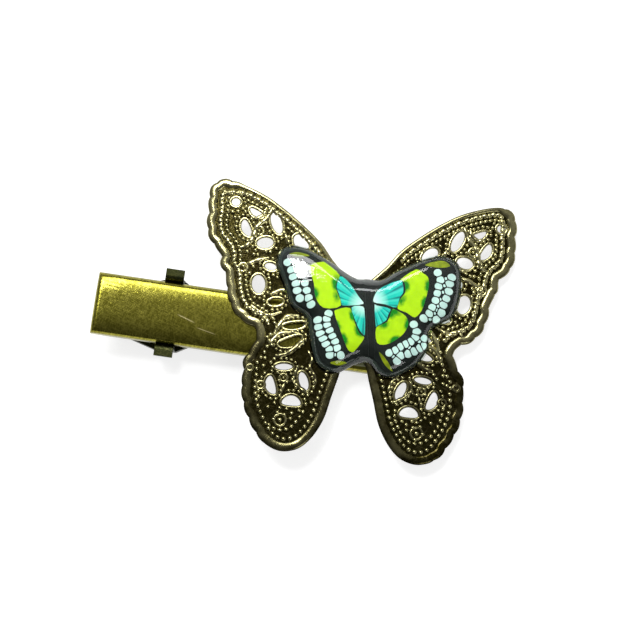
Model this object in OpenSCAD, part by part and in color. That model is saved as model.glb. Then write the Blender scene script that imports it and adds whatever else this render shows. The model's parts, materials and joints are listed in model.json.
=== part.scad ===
// Butterfly hair clip: a spring pinch clip with a stamped filigree butterfly
// and a clay butterfly under clear resin. Millimetres, +Z up, resting as it lies on a table:
// +X runs along the clip from its thumb end to its nose.

/* [Clip] */
// Length of the upper arm, thumb end to nose
clip_len = 40; // [34:1:48]
// Width of the upper arm over its side flanges
clip_w = 8; // [6.8:0.2:10]
// Thickness of the upper arm's sheet
sheet_t = 0.6; // [0.4:0.05:0.7]
// Depth of the side flanges below the top face
flange_h = 1.8; // [1.5:0.1:2.1]
// Depth of the lips at both ends below the top face
lip_h = 1.2; // [0.9:0.1:1.4]
// Outer rounding of the folded edges
edge_r = 0.75; // [0.4:0.05:0.9]

/* [Lower arm] */
// Thickness of the lower arm's sheet
lower_t = 0.5; // [0.4:0.05:0.6]
// Distance from the thumb end of the upper arm to the lever's end
lever_x = 2.3; // [1.5:0.1:3]
// Depth of the lever's end below the top face
lever_drop = 6.3; // [5.5:0.1:7]
// Width of the lever's end
lever_w = 5.6; // [4.6:0.1:6]
// Depth of the lower jaw's nose below the top face
nose_drop = 2.6; // [2.5:0.05:3]
// Height of the lower arm's side walls over its floor
wall_h = 0.7; // [0.4:0.05:0.8]
// Number of teeth on each side of the nose
teeth = 6; // [3:1:9]
// Spacing of the teeth
tooth_pitch = 1.1; // [0.9:0.05:1.3]

/* [Hinge] */
// Distance from the thumb end of the upper arm to the hinge pin
hinge_x = 9.7; // [9:0.1:12]
// Depth of the pin's axis below the top face
pin_drop = 2.6; // [2.4:0.05:3]
// Pin diameter
pin_d = 1.2; // [1:0.05:1.4]
// Radial running clearance of the pin in the upper arm's lugs
pin_clear = 0.05; // [0.02:0.01:0.09]
// Radius of the lugs round the pin
lug_r = 1.4; // [1.2:0.05:1.6]
// Length of the curled ears along the clip
ear_l = 2.4; // [2:0.1:2.8]
// How far the curled ears stand out past the lower arm's sides
ear_out = 1.1; // [0.8:0.1:1.4]
// Spring wire diameter
wire_d = 0.6; // [0.5:0.05:0.7]
// Length of the spring's legs
leg_l = 5.2; // [4:0.1:5.6]

/* [Filigree butterfly] */
// Wing span of the stamped butterfly
fil_span = 39.6; // [34:0.2:47]
// Thickness of the stamped sheet
fil_t = 0.5; // [0.35:0.05:0.8]
// Radius to which the wings are domed
dome_r = 160; // [120:10:300]
// How far the butterfly's middle lies behind the nose
nose_cover = 6.1; // [4:0.1:8]
// How far the butterfly's middle lies off the clip's centre line
fil_y = 1.5; // [-2:0.1:2]
// Turn of the butterfly on the clip
fil_turn = 2.5; // [-5:0.5:5]
// Sideways lean of the stamped outline, in degrees
fil_lean = 2.3; // [-4:0.1:4]

/* [Clay butterfly] */
// Wing span of the clay butterfly with its resin skirt
clay_span = 23.7; // [20:0.1:28]
// Thickness of the black backing slice
back_t = 0.7; // [0.5:0.05:1]
// Thickness of the patterned wing slices
slice_t = 1; // [0.6:0.05:1.4]
// Place of the clay butterfly ahead of the filigree's middle
clay_x = 1.15; // [0:0.05:2]
// Place of the clay butterfly above the clip's centre line
clay_y = 3.7; // [3:0.1:4.2]
// Turn of the clay butterfly on the clip
clay_turn = 11.5; // [5:0.5:16]
// Gap that the inlaid panels leave to each other's outlines, as a share of their size
panel_fill = 0.93; // [0.85:0.01:0.95]
// Radius of a white cell
cell_r = 0.33; // [0.25:0.01:0.34]

/* [Resin] */
// Thickness of the clear coat over the clay
coat_t = 0.4; // [0.2:0.05:0.8]
// Width of the skirt of resin round the clay
skirt_w = 0.65; // [0.5:0.05:0.8]

/* [Hidden] */
$fn = 48;
far = 100;
lap = 0.5;

// Colours
bronze = [0.50, 0.46, 0.16];
dark_bronze = [0.24, 0.25, 0.14];
spring_steel = [0.55, 0.54, 0.50];
cured_glue = [0.75, 0.73, 0.60];
black_clay = [0.12, 0.14, 0.13];
lime_clay = [0.70, 0.90, 0.05];
turquoise_clay = [0.30, 0.82, 0.80];
white_clay = [0.88, 0.95, 0.93];
olive_clay = [0.48, 0.53, 0.06];
clear_resin = [0.75, 0.82, 0.78, 0.35];

// Clip sizes that follow from the ones above; depths are below the top face
half_w = clip_w / 2;
half_in = half_w - sheet_t;
side_gap = 0.1;
ear_in = half_w + side_gap;
ear_face = ear_in + lower_t;
jaw_gap = 0.2;
jaw_half = half_in - jaw_gap;
pin_r = pin_d / 2;
wire_r = wire_d / 2;
coil_gap = 0.35;
coil_r = pin_r + coil_gap + wire_r;
coil_clear = 0.05;
lug_clear = 0.2;
floor_z = -(pin_drop + max(lug_r + lug_clear, coil_r + wire_r + coil_clear));
lever_floor = -lever_drop + lower_t;
nose_floor = -nose_drop + lower_t;
jaw_end = clip_len - sheet_t - 0.4;
close_gap = 0.05;
tooth_top = -(sheet_t + close_gap);
tooth_in = 0.9;
head_t = 0.35;
head_r = pin_r + 0.3;
curl_r = lower_t + 0.25;
ear_top = -0.75;

// Spring sizes
turns = 4.5;
turn_steps = 14;
wire_sides = 8;
coil_pitch = wire_d + 0.06;
leg_clear = 0.04;
lever_slope = atan2(lever_drop - lower_t + floor_z, hinge_x - lever_x);

// Filigree outline, right half, from the notch between the upper wings round to the lower notch
fil_base_span = 39.6;
fil_k = fil_span / fil_base_span;
fil_half = [
  [0, 5.3], [3, 7.6], [5.1, 10.2], [7.5, 12.3], [10.2, 14.3], [12.9, 15.9], [16.2, 17.1],
  [18.2, 17.3], [19.5, 16.4], [19.8, 14.7], [19.7, 13.4], [19.8, 11.6], [19.3, 9.6],
  [17.8, 7.8], [17.7, 6.4], [16.9, 5], [16.7, 3.4], [16, 1.2], [14.7, -0.3], [12.6, -1.5],
  [12.7, -3.4], [13.9, -5.6], [13.9, -7.3], [14, -9.2], [13.5, -11.6], [12.5, -13.7],
  [11.3, -15.5], [9.9, -16.5], [8.3, -16.8], [6.4, -16.2], [4.8, -14.6], [3.5, -12.2],
  [2.7, -9.3], [2, -6.9], [1.4, -4.9], [0, -3.9]
];
// How far the leaning outline sits to the left of its openings
lean_x = 0.2;
// Openings on the right half: centre x, y, length, width, turn, bow
fil_holes = [
  [15.5, 11.3, 2.5, 1.3, 62, 0.12], [11.7, 12.3, 3.1, 1.5, 66, 0], [12.9, 9.6, 2.3, 1.6, -10, 0],
  [8.3, 10, 2.7, 1.8, 50, 0], [11.9, 6.6, 1.7, 1.1, 10, 0], [13.2, 4.2, 2.6, 1.9, 80, 0],
  [17.2, 14.6, 1.3, 1.2, 0, 0], [14.4, 13.4, 2.2, 1, 25, 0.15], [8.9, -6.1, 2.4, 1, -5, 0],
  [10.3, -8.6, 2.6, 1.4, 70, 0.15], [6.2, -7.7, 2.6, 1.3, 68, 0], [7.5, -10.4, 2.6, 1.5, 0, -0.18],
  [8.4, -2.8, 3.2, 1.2, -25, 0.08], [8.1, -0.7, 3, 0.9, -12, 0.05], [10.8, 2.1, 2, 1, -10, 0]
];

// Clay outlines, clockwise, drawn for the base span
clay_base_span = 23.7;
clay_k = clay_span / clay_base_span;
resin_edge = [
  [-0.1, 4], [1.8, 3.9], [4, 5], [7.2, 6.2], [9.7, 6.6], [11.5, 5.8], [12.2, 4.3], [12, 1.5],
  [10.7, -1.6], [8, -3], [7.3, -5.4], [6.1, -7.2], [4.2, -8.4], [2, -9], [0.6, -8.3],
  [-0.5, -6.8], [-2.2, -6.9], [-4.5, -7.9], [-6, -7.6], [-7.2, -6.5], [-7.7, -4.6],
  [-7.9, -2.4], [-8.2, -0.5], [-9.9, 1], [-10.8, 4], [-11.5, 6.3], [-11.2, 8], [-10, 8.9],
  [-7.6, 8.6], [-5.2, 7.1], [-2.8, 5.1], [-1.4, 4.2]
];
body_half = 0.45;
// The seams between upper and lower wings, from the body outwards
left_seam = [[-body_half, 0.35], [-3.2, 0.3], [-5.9, 0.1], [-9, -0.8]];
right_seam = [[body_half, 0.55], [2.6, 0.1], [3.7, -0.4], [4.9, -1.25], [6.3, -2.1], [9, -3.4]];

// Least width of the black border outside an inlaid panel
panel_border = 0.1;
// Inlaid panels
lime_lu = [
  [-7.3, 5.9], [-5.75, 6.35], [-5.1, 6.1], [-3.5, 4.4], [-4.05, 3.05], [-3.5, 0.5], [-5.8, 0.3],
  [-6.8, 1.8], [-6.9, 3.6]
];
lime_ll = [
  [-4.5, -0.5], [-4.2, 0.1], [-2.4, 0.2], [-1.9, -1.65], [-1.4, -3.1], [-0.8, -3.8],
  [-2.1, -5.3], [-2.7, -5.4], [-3.2, -4.9], [-3.9, -2.7]
];
lime_ru = [
  [4.2, 3.5], [6.3, 4.7], [7.2, 4.2], [7.8, 3.6], [7.8, 2.4], [7.3, 0.8], [6.7, -0.65],
  [5.7, -1.55], [4.65, -0.9], [3.5, -0.25], [4, 1.1], [4.6, 1.8], [4.6, 3]
];
lime_rl = [
  [2.8, -0.3], [3.4, -0.35], [4.6, -1.2], [4.9, -2.3], [4.3, -3.4], [3.3, -4.2], [1.9, -4.8],
  [0.65, -4.5], [0.65, -2.5], [2.1, -1.8]
];
turquoise_lu = [
  [-3.7, 4.1], [-3.2, 4.25], [-2.2, 3.2], [-1.2, 1.6], [-0.7, 0.5], [-3.3, 0.45], [-3.6, 1],
  [-3.8, 2], [-4.05, 2.9]
];
turquoise_ll = [
  [-2.3, 0.25], [-0.75, 0.3], [-0.55, -0.8], [-0.6, -2.3], [-0.8, -3.5], [-1.4, -2.9], [-1.9, -1.65]
];
turquoise_ru = [
  [0.6, 1.4], [1.4, 2.4], [4, 3.4], [4.5, 3], [4.5, 1.8], [4, 1.1], [3.45, -0.15], [2, 0.3], [0.6, 0.65]
];
turquoise_rl = [[0.6, 0.4], [0.9, 0.45], [2.7, -0.2], [2.4, -1], [2.1, -1.7], [0.95, -2.35], [0.6, -2.3]];

// Olive streaks: both ends and the width in the middle
streak_lu = [[-9.6, 7.7], [-7.2, 7.3], 0.5];
streak_ll = [[-5.2, -6.5], [-3.4, -6.6], 0.5];
streak_ru = [[7.7, 5.2], [10.4, 5.1], 0.6];
streak_rl = [[1.2, -5.8], [2.4, -7.7], 0.6];

// Rows of white cells: start, middle, end, number of cells
cells_lu = [[[-9.9, 6.2], [-9.3, 4.2], [-8.7, 2], 5], [[-8.7, 6.2], [-8.1, 3.5], [-7.4, 1.1], 6]];
cells_ll = [[[-6.5, -1.1], [-6.4, -3.2], [-5.5, -5.8], 6], [[-5.5, -0.6], [-5.3, -3], [-4.3, -5.6], 6]];
cells_ru = [[[10.5, 3.7], [10.1, 1.1], [8.3, -1.5], 7], [[9.2, 4.3], [9, 1.6], [6.9, -1.6], 7]];
cells_rl = [[[6.3, -4.3], [5.4, -5.7], [3.3, -6.5], 5], [[5.6, -2.6], [5.05, -4.55], [2.3, -5.6], 6]];

// Heights of the stacked layers, over the top face of the clip at the butterfly's middle
over_clip = 16.5 * fil_k;
under_gap = 0.06;
fil_z = over_clip * over_clip / (2 * dome_r) + under_gap;
back_z = fil_z + fil_t;
slice_z = back_z + back_t;
coat_z = slice_z + slice_t;
top_z = coat_z + coat_t;
fil_x = clip_len - nose_cover;
pad_back = 7;
pad_side = 0.6;

// ---- Curves ----
function wrap(i, n) = (i + n) % n;
function spline(a, b, c, d, t) = 0.5 * (
  2 * b + (c - a) * t + (2 * a - 5 * b + 4 * c - d) * t * t + (3 * b - a - 3 * c + d) * t * t * t
);
// A smooth closed curve through the points, with n steps from each to the next
function loop(p, n) = let (m = len(p)) [
  for (i = [0 : m - 1], k = [0 : n - 1])
    spline(p[wrap(i - 1, m)], p[i], p[wrap(i + 1, m)], p[wrap(i + 2, m)], k / n)
];
function mirrored(half) = concat(half, [for (i = [len(half) - 2 : -1 : 1]) [-half[i].x, half[i].y]]);
function unit(v) = v / norm(v);
// A clockwise outline moved inwards by d at each of its points
function inset(p, d) = let (m = len(p)) [
  for (i = [0 : m - 1]) let (t = unit(p[wrap(i + 1, m)] - p[wrap(i - 1, m)])) p[i] + d * [t.y, -t.x]
];
function middle(p) = [for (v = p) 1] * p / len(p);
function shrunk(p, k) = let (c = middle(p)) [for (v = p) c + k * (v - c)];
function oval(length, width, bow, n = 14) = [
  for (i = [0 : n - 1]) let (x = length / 2 * cos(360 * i / n))
    [x, width / 2 * sin(360 * i / n) + bow * (x * x - length * length / 12)]
];
function quad(a, b, c, t) = let (m = 2 * b - (a + c) / 2) (1 - t) * (1 - t) * a + 2 * t * (1 - t) * m + t * t * c;
function turned(p, a) = [for (v = p) [v.x * cos(a) - v.y * sin(a), v.x * sin(a) + v.y * cos(a)]];

function leaning(p) = [for (v = p) [v.x - lean_x - v.y * tan(fil_lean), v.y]];

fil_edge = fil_k * leaning(loop(mirrored(fil_half), 3));
clay_edge = inset(clay_k * loop(resin_edge, 3), skirt_w);

// ---- Resting place: on the lever's end and the jaw's nose, centred over the whole outline ----
rest_tilt = atan2(lever_drop - nose_drop, jaw_end - lever_x);
fil_world = turned(fil_edge, fil_turn);
wing_drop = fil_z - (fil_span / 2) * (fil_span / 2) / (2 * dome_r);
low_end_x = -flange_h * sin(rest_tilt);
high_end_x = (fil_x + max([for (v = fil_world) v.x])) * cos(rest_tilt) + wing_drop * sin(rest_tilt);
centre_x = (low_end_x + high_end_x) / 2;
centre_y = fil_y + (max([for (v = fil_world) v.y]) + min([for (v = fil_world) v.y])) / 2;
rest_z = lever_x * sin(rest_tilt) + lever_drop * cos(rest_tilt);

module at_rest() {
  translate([-centre_x, -centre_y, rest_z])
    rotate([0, rest_tilt, 0])
      children();
}

// ---- Shared shapes ----
// A flat shape in the XZ plane, y0 to y1 thick
module across(y0, y1) {
  translate([0, y1, 0])
    rotate([90, 0, 0])
      linear_extrude(y1 - y0)
        children();
}

module both_sides() {
  children();
  mirror([0, 1, 0])
    children();
}

// The space between two heights over the domed sheet
module dome_layer(z0, z1) {
  intersection() {
    translate([-fil_span, -fil_span, -far / 4])
      cube([2 * fil_span, 2 * fil_span, far]);
    translate([0, 0, -dome_r])
      rotate([90, 0, 0])
        difference() {
          cylinder(r = dome_r + z1, h = 2 * far, center = true, $fn = 720);
          cylinder(r = dome_r + z0, h = 3 * far, center = true, $fn = 720);
        }
  }
}

module on_butterfly() {
  translate([fil_x, fil_y, 0])
    rotate([0, 0, fil_turn])
      children();
}

module clay_place() {
  translate([clay_x, clay_y - fil_y, 0])
    rotate([0, 0, clay_turn - fil_turn])
      children();
}

// A piece of clay: its outline taken straight up through one layer of the dome
module clay_layer(z0, z1) {
  at_rest()
    on_butterfly()
      intersection() {
        clay_place()
          translate([0, 0, -far / 4])
            linear_extrude(far / 2)
              children();
        dome_layer(z0, z1);
      }
}

// ---- Clip ----
module rounded_bar(length, height, r) {
  translate([r, -height])
    square([length - 2 * r, height]);
  translate([0, -height])
    square([length, height - r]);
  for (x = [r, length - r])
    translate([x, -r])
      circle(r);
}

module upper_arm() {
  color(bronze) at_rest() difference() {
    union() {
      difference() {
        intersection() {
          across(-half_w, half_w)
            rounded_bar(clip_len, flange_h, edge_r);
          rotate([90, 0, 90])
            linear_extrude(clip_len)
              translate([-half_w, 0])
                rounded_bar(clip_w, flange_h, edge_r);
        }
        translate([sheet_t, -half_in, -flange_h - lap])
          cube([clip_len - 2 * sheet_t, 2 * half_in, flange_h + lap - sheet_t]);
        for (x = [-lap, clip_len - sheet_t])
          translate([x, -half_in, -flange_h - lap])
            cube([sheet_t + lap, 2 * half_in, flange_h + lap - lip_h]);
      }
      both_sides()
        across(half_in, half_w)
          lug_shape();
    }
    translate([hinge_x, 0, -pin_drop])
      rotate([90, 0, 0])
        cylinder(r = pin_r + pin_clear, h = 2 * clip_w, center = true);
  }
}

module lug_shape() {
  translate([hinge_x, -pin_drop])
    circle(lug_r);
  translate([hinge_x - lug_r, -pin_drop])
    square([2 * lug_r, pin_drop - edge_r]);
}

// Side view of the lower arm's floor, or of its walls when h is their height
function arm_side(low, high) = [
  [lever_x, lever_floor + low], [hinge_x, floor_z + low], [jaw_end, nose_floor + low],
  [jaw_end, nose_floor + high], [hinge_x, floor_z + high], [lever_x, lever_floor + high]
];

// Plan of the lower arm, its edge moved in by d
module arm_plan(d) {
  polygon([
    [lever_x + d, -lever_w / 2 + d], [hinge_x - ear_l / 2 - 0.2, -ear_face + d],
    [hinge_x + ear_l / 2 + 0.2, -ear_face + d], [hinge_x + ear_l + 1.4, -jaw_half + d],
    [jaw_end - d, -jaw_half + d], [jaw_end - d, jaw_half - d],
    [hinge_x + ear_l + 1.4, jaw_half - d], [hinge_x + ear_l / 2 + 0.2, ear_face - d],
    [hinge_x - ear_l / 2 - 0.2, ear_face - d], [lever_x + d, lever_w / 2 - d]
  ]);
}

module ear() {
  // The upright cheek that the pin is riveted into
  difference() {
    across(ear_in, ear_face)
      polygon([
        [hinge_x - lug_r, floor_z - lower_t / 2], [hinge_x - ear_l / 2, ear_top - curl_r],
        [hinge_x + ear_l / 2, ear_top - curl_r], [hinge_x + lug_r, floor_z - lower_t / 2]
      ]);
    translate([hinge_x, 0, -pin_drop])
      rotate([90, 0, 0])
        cylinder(r = pin_r, h = 3 * clip_w, center = true);
  }
  // The curl outwards and the flat end of the ear
  translate([hinge_x - ear_l / 2, ear_in + curl_r, ear_top - curl_r])
    rotate([90, 0, 90])
      linear_extrude(ear_l)
        intersection() {
          difference() {
            circle(curl_r);
            circle(curl_r - lower_t);
          }
          translate([-curl_r, 0])
            square(curl_r);
        }
  translate([hinge_x - ear_l / 2, ear_in + curl_r, ear_top - lower_t])
    cube([ear_l, ear_out + lower_t - curl_r, lower_t]);
}

// One side's teeth, pointing up at the upper arm's inner face
module tooth_row() {
  for (i = [0 : teeth - 1])
    across(jaw_half - tooth_in, jaw_half - lower_t)
      translate([jaw_end - 0.2 - (i + 1) * tooth_pitch, 0])
        polygon([
          [0, nose_floor - lower_t / 2 - i * tooth_pitch * tan(jaw_slope())],
          [tooth_pitch * 0.5, tooth_top - i * 0.05],
          [tooth_pitch * 0.9, nose_floor - lower_t / 2 - i * tooth_pitch * tan(jaw_slope())]
        ]);
}

function jaw_slope() = atan2(nose_floor - floor_z, jaw_end - hinge_x);

module lower_arm() {
  color(dark_bronze) at_rest() union() {
    intersection() {
      across(-clip_w, clip_w)
        polygon(arm_side(-lower_t, 0));
      translate([0, 0, -far / 2])
        linear_extrude(far)
          arm_plan(0);
    }
    intersection() {
      across(-clip_w, clip_w)
        polygon(arm_side(-lower_t, wall_h));
      translate([0, 0, -far / 2])
        linear_extrude(far)
          difference() {
            arm_plan(0);
            arm_plan(lower_t);
          }
    }
    both_sides() {
      ear();
      tooth_row();
    }
  }
}

module hinge_pin() {
  color(dark_bronze) at_rest()
    translate([hinge_x, 0, -pin_drop])
      rotate([90, 0, 0]) {
        cylinder(r = pin_r, h = 2 * (ear_face + head_t), center = true);
        for (side = [-1, 1])
          translate([0, 0, side * (ear_face + head_t / 2)])
            cylinder(r = head_r, h = head_t, center = true);
      }
}

// ---- Spring: a coil round the pin with a leg under the upper arm and one on the lever ----
function coil_point(i) = let (a = 360 * i / turn_steps - 90, y = coil_pitch * (i / turn_steps - turns / 2))
  [coil_r * cos(a), y, coil_r * sin(a)];
coil_steps = turns * turn_steps;
coil_path = [for (i = [0 : coil_steps]) coil_point(i)];
low_z = floor_z + pin_drop + wire_r / cos(lever_slope) + leg_clear;
lower_leg = [-leg_l, -coil_pitch * turns / 2, low_z - leg_l * tan(lever_slope)];
upper_leg = [-leg_l, coil_pitch * turns / 2, pin_drop - sheet_t - wire_r - leg_clear];
wire_path = concat([lower_leg], coil_path, [upper_leg]);

function heading(p, i) = unit(p[min(i + 1, len(p) - 1)] - p[max(i - 1, 0)]);
function wire_ring(p, i) = let (
  t = heading(p, i), n = unit(cross(t, [0, 1, 0])), s = cross(n, t)
) [for (k = [0 : wire_sides - 1]) p[i] + wire_r * (cos(360 * k / wire_sides) * n + sin(360 * k / wire_sides) * s)];

module torsion_spring() {
  rings = len(wire_path);
  points = [for (i = [0 : rings - 1]) each wire_ring(wire_path, i)];
  sides = [
    for (i = [0 : rings - 2], k = [0 : wire_sides - 1]) let (a = i * wire_sides, b = wrap(k + 1, wire_sides))
      [a + k, a + b, a + wire_sides + b, a + wire_sides + k]
  ];
  ends = [
    [for (k = [wire_sides - 1 : -1 : 0]) k],
    [for (k = [0 : wire_sides - 1]) (rings - 1) * wire_sides + k]
  ];
  color(spring_steel) at_rest()
    translate([hinge_x, 0, -pin_drop])
      polyhedron(points, concat(sides, ends));
}

// ---- Glue and filigree ----
module adhesive_pad() {
  color(cured_glue) at_rest() intersection() {
    translate([fil_x - pad_back, -half_w + pad_side, 0])
      cube([pad_back + nose_cover - edge_r, clip_w - 2 * pad_side, fil_z + lap]);
    on_butterfly()
      dome_layer(-far / 8, fil_z);
  }
}

module filigree_butterfly() {
  color(bronze) at_rest() on_butterfly() intersection() {
    translate([0, 0, -far / 4])
      linear_extrude(far / 2)
        difference() {
          polygon(fil_edge);
          for (side = [0, 1], h = fil_holes)
            mirror([side, 0])
              translate(fil_k * [h[0], h[1]])
                rotate(h[4])
                  polygon(fil_k * oval(h[2], h[3], h[5]));
        }
    dome_layer(fil_z, back_z);
  }
}

// ---- Clay ----
// An inlaid panel, which keeps a black border inside the clay's edge
module panel(points) {
  intersection() {
    polygon(shrunk(clay_k * points, panel_fill));
    polygon(inset(clay_edge, panel_border));
  }
}

module cells(rows) {
  for (row = rows, i = [0 : row[3] - 1])
    translate(clay_k * quad(row[0], row[1], row[2], i / (row[3] - 1)))
      circle(cell_r * clay_k, $fn = 20);
}

module streak(s) {
  a = clay_k * s[0];
  b = clay_k * s[1];
  l = norm(b - a);
  translate((a + b) / 2)
    rotate(atan2(b.y - a.y, b.x - a.x))
      polygon([for (t = [0 : 0.125 : 1]) [l * (t - 0.5), s[2] / 2 * sin(180 * t)],
        for (t = [0.875 : -0.125 : 0.125]) [l * (t - 0.5), -s[2] / 2 * sin(180 * t)]]);
}

// The part of the clay outline that lies inside a region
module clay_region(points) {
  intersection() {
    polygon(clay_edge);
    polygon(clay_k * points);
  }
}

module wing(region, lime, turquoise, rows, leaf) {
  color(black_clay) clay_layer(slice_z, coat_z) difference() {
    clay_region(region);
    panel(lime);
    panel(turquoise);
    cells(rows);
    streak(leaf);
  }
}

left_up = concat(left_seam, [[-15, -0.8], [-15, 12], [-body_half, 12]]);
left_down = concat(left_seam, [[-15, -0.8], [-15, -12], [-body_half, -12]]);
right_up = concat(right_seam, [[15, -3.4], [15, 12], [body_half, 12]]);
right_down = concat(right_seam, [[15, -3.4], [15, -12], [body_half, -12]]);

module clay_backing() {
  color(black_clay) clay_layer(back_z, slice_z)
    polygon(clay_edge);
}

module clay_body() {
  color(black_clay) clay_layer(slice_z, coat_z)
    clay_region([[-body_half, -12], [-body_half, 12], [body_half, 12], [body_half, -12]]);
}

module wing_left_upper() { wing(left_up, lime_lu, turquoise_lu, cells_lu, streak_lu); }
module wing_left_lower() { wing(left_down, lime_ll, turquoise_ll, cells_ll, streak_ll); }
module wing_right_upper() { wing(right_up, lime_ru, turquoise_ru, cells_ru, streak_ru); }
module wing_right_lower() { wing(right_down, lime_rl, turquoise_rl, cells_rl, streak_rl); }

module lime(points) {
  color(lime_clay) clay_layer(slice_z, coat_z)
    panel(points);
}

module turquoise(points) {
  color(turquoise_clay) clay_layer(slice_z, coat_z)
    panel(points);
}

module white(rows) {
  color(white_clay) clay_layer(slice_z, coat_z)
    cells(rows);
}

module olive(leaf) {
  color(olive_clay) clay_layer(slice_z, coat_z)
    streak(leaf);
}

module lime_left_upper() { lime(lime_lu); }
module lime_left_lower() { lime(lime_ll); }
module lime_right_upper() { lime(lime_ru); }
module lime_right_lower() { lime(lime_rl); }
module turquoise_left_upper() { turquoise(turquoise_lu); }
module turquoise_left_lower() { turquoise(turquoise_ll); }
module turquoise_right_upper() { turquoise(turquoise_ru); }
module turquoise_right_lower() { turquoise(turquoise_rl); }
module cells_left_upper() { white(cells_lu); }
module cells_left_lower() { white(cells_ll); }
module cells_right_upper() { white(cells_ru); }
module cells_right_lower() { white(cells_rl); }
module streak_left_upper() { olive(streak_lu); }
module streak_left_lower() { olive(streak_ll); }
module streak_right_upper() { olive(streak_ru); }
module streak_right_lower() { olive(streak_rl); }

// The clear coat: a dome over the clay with a skirt down to the filigree
module resin_coat() {
  color(clear_resin) difference() {
    clay_layer(back_z, top_z)
      polygon(clay_k * loop(resin_edge, 3));
    clay_layer(back_z - lap, coat_z)
      polygon(clay_edge);
  }
}

upper_arm();
lower_arm();
hinge_pin();
torsion_spring();
adhesive_pad();
filigree_butterfly();
clay_backing();
clay_body();
wing_left_upper();
wing_left_lower();
wing_right_upper();
wing_right_lower();
lime_left_upper();
lime_left_lower();
lime_right_upper();
lime_right_lower();
turquoise_left_upper();
turquoise_left_lower();
turquoise_right_upper();
turquoise_right_lower();
cells_left_upper();
cells_left_lower();
cells_right_upper();
cells_right_lower();
streak_left_upper();
streak_left_lower();
streak_right_upper();
streak_right_lower();
resin_coat();
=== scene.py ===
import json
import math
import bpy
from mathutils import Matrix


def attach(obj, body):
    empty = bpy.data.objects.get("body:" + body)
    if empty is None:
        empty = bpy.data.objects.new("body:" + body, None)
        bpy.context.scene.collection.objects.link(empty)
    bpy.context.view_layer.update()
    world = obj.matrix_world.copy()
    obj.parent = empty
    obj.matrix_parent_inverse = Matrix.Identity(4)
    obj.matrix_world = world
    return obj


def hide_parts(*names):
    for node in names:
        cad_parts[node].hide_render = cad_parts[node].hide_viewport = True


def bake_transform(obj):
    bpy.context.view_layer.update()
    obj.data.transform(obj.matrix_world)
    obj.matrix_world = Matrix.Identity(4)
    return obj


bl_info = {
    "name": "Butterfly hair clip",
    "version": (1, 0, 0),
    "blender": (4, 5, 0),
    "location": "3D View > Sidebar > Hair clip",
    "description": "A pinch clip with a stamped filigree butterfly and a clay butterfly under resin",
    "category": "Add Mesh",
}

import bpy
import numpy as np
from bpy.props import FloatProperty, FloatVectorProperty, PointerProperty
from mathutils import Matrix, Vector, noise

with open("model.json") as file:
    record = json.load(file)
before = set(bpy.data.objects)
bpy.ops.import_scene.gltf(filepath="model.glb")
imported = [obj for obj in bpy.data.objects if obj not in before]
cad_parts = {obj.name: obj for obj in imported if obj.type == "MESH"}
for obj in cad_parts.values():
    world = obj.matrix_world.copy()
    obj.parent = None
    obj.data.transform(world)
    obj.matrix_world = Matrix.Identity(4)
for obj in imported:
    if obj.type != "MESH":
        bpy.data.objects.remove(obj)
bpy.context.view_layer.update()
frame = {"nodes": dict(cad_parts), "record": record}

# Lengths in this script are millimetres, and properties are metres.
MM = 0.001
UPPER = "upper_body"
LOWER = "lower_body"


# ---- Places that the frame gives ----
MOUNTS = {mount["name"]: mount for mount in frame["record"]["mounts"]}
GRIP = Vector(MOUNTS["jaw_grip"]["axis"])
REST_TILT = math.atan2(-GRIP.z, GRIP.x)
HINGE = Vector(frame["record"]["behaviour"]["joints"][0]["pos_m"])

# The clip's own frame: x from the thumb end to the nose, z over the flat top face
HINGE_X = 9.7
PIN_DROP = 2.6
EAR_FACE = 4.6
SHEET_T = 0.6
CLIP_TO_ROW = (
    Matrix.Translation(HINGE)
    @ Matrix.Rotation(REST_TILT, 4, "Y")
    @ Matrix.Translation((-HINGE_X * MM, 0, PIN_DROP * MM))
    @ Matrix.Scale(MM, 4)
)

# The filigree's place on the clip, and the dome that its sheet and the clay follow
DOME_R = 160.0
FIL_X = 33.9
FIL_Y = 1.5
FIL_TURN = math.radians(2.5)
FIL_Z = 0.911
BACK_Z = 1.411

# The clay butterfly's place on the filigree
CLAY_X = 1.15
CLAY_Y = 2.2
CLAY_TURN = math.radians(9)


# ---- Outlines ----
# Filigree, right half, from the upper notch round to the lower one
FIL_HALF = (
    (0, 5.3), (3, 7.6), (5.1, 10.2), (7.5, 12.3), (10.2, 14.3), (12.9, 15.9), (16.2, 17.1),
    (18.2, 17.3), (19.5, 16.4), (19.8, 14.7), (19.7, 13.4), (19.8, 11.6), (19.3, 9.6),
    (17.8, 7.8), (17.7, 6.4), (16.9, 5), (16.7, 3.4), (16, 1.2), (14.7, -0.3), (12.6, -1.5),
    (12.7, -3.4), (13.9, -5.6), (13.9, -7.3), (14, -9.2), (13.5, -11.6), (12.5, -13.7),
    (11.3, -15.5), (9.9, -16.5), (8.3, -16.8), (6.4, -16.2), (4.8, -14.6), (3.5, -12.2),
    (2.7, -9.3), (2, -6.9), (1.4, -4.9), (0, -3.9),
)
# The stamped outline leans a little against its openings
FIL_LEAN = math.tan(math.radians(2.3))
FIL_LEAN_X = 0.2
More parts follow.
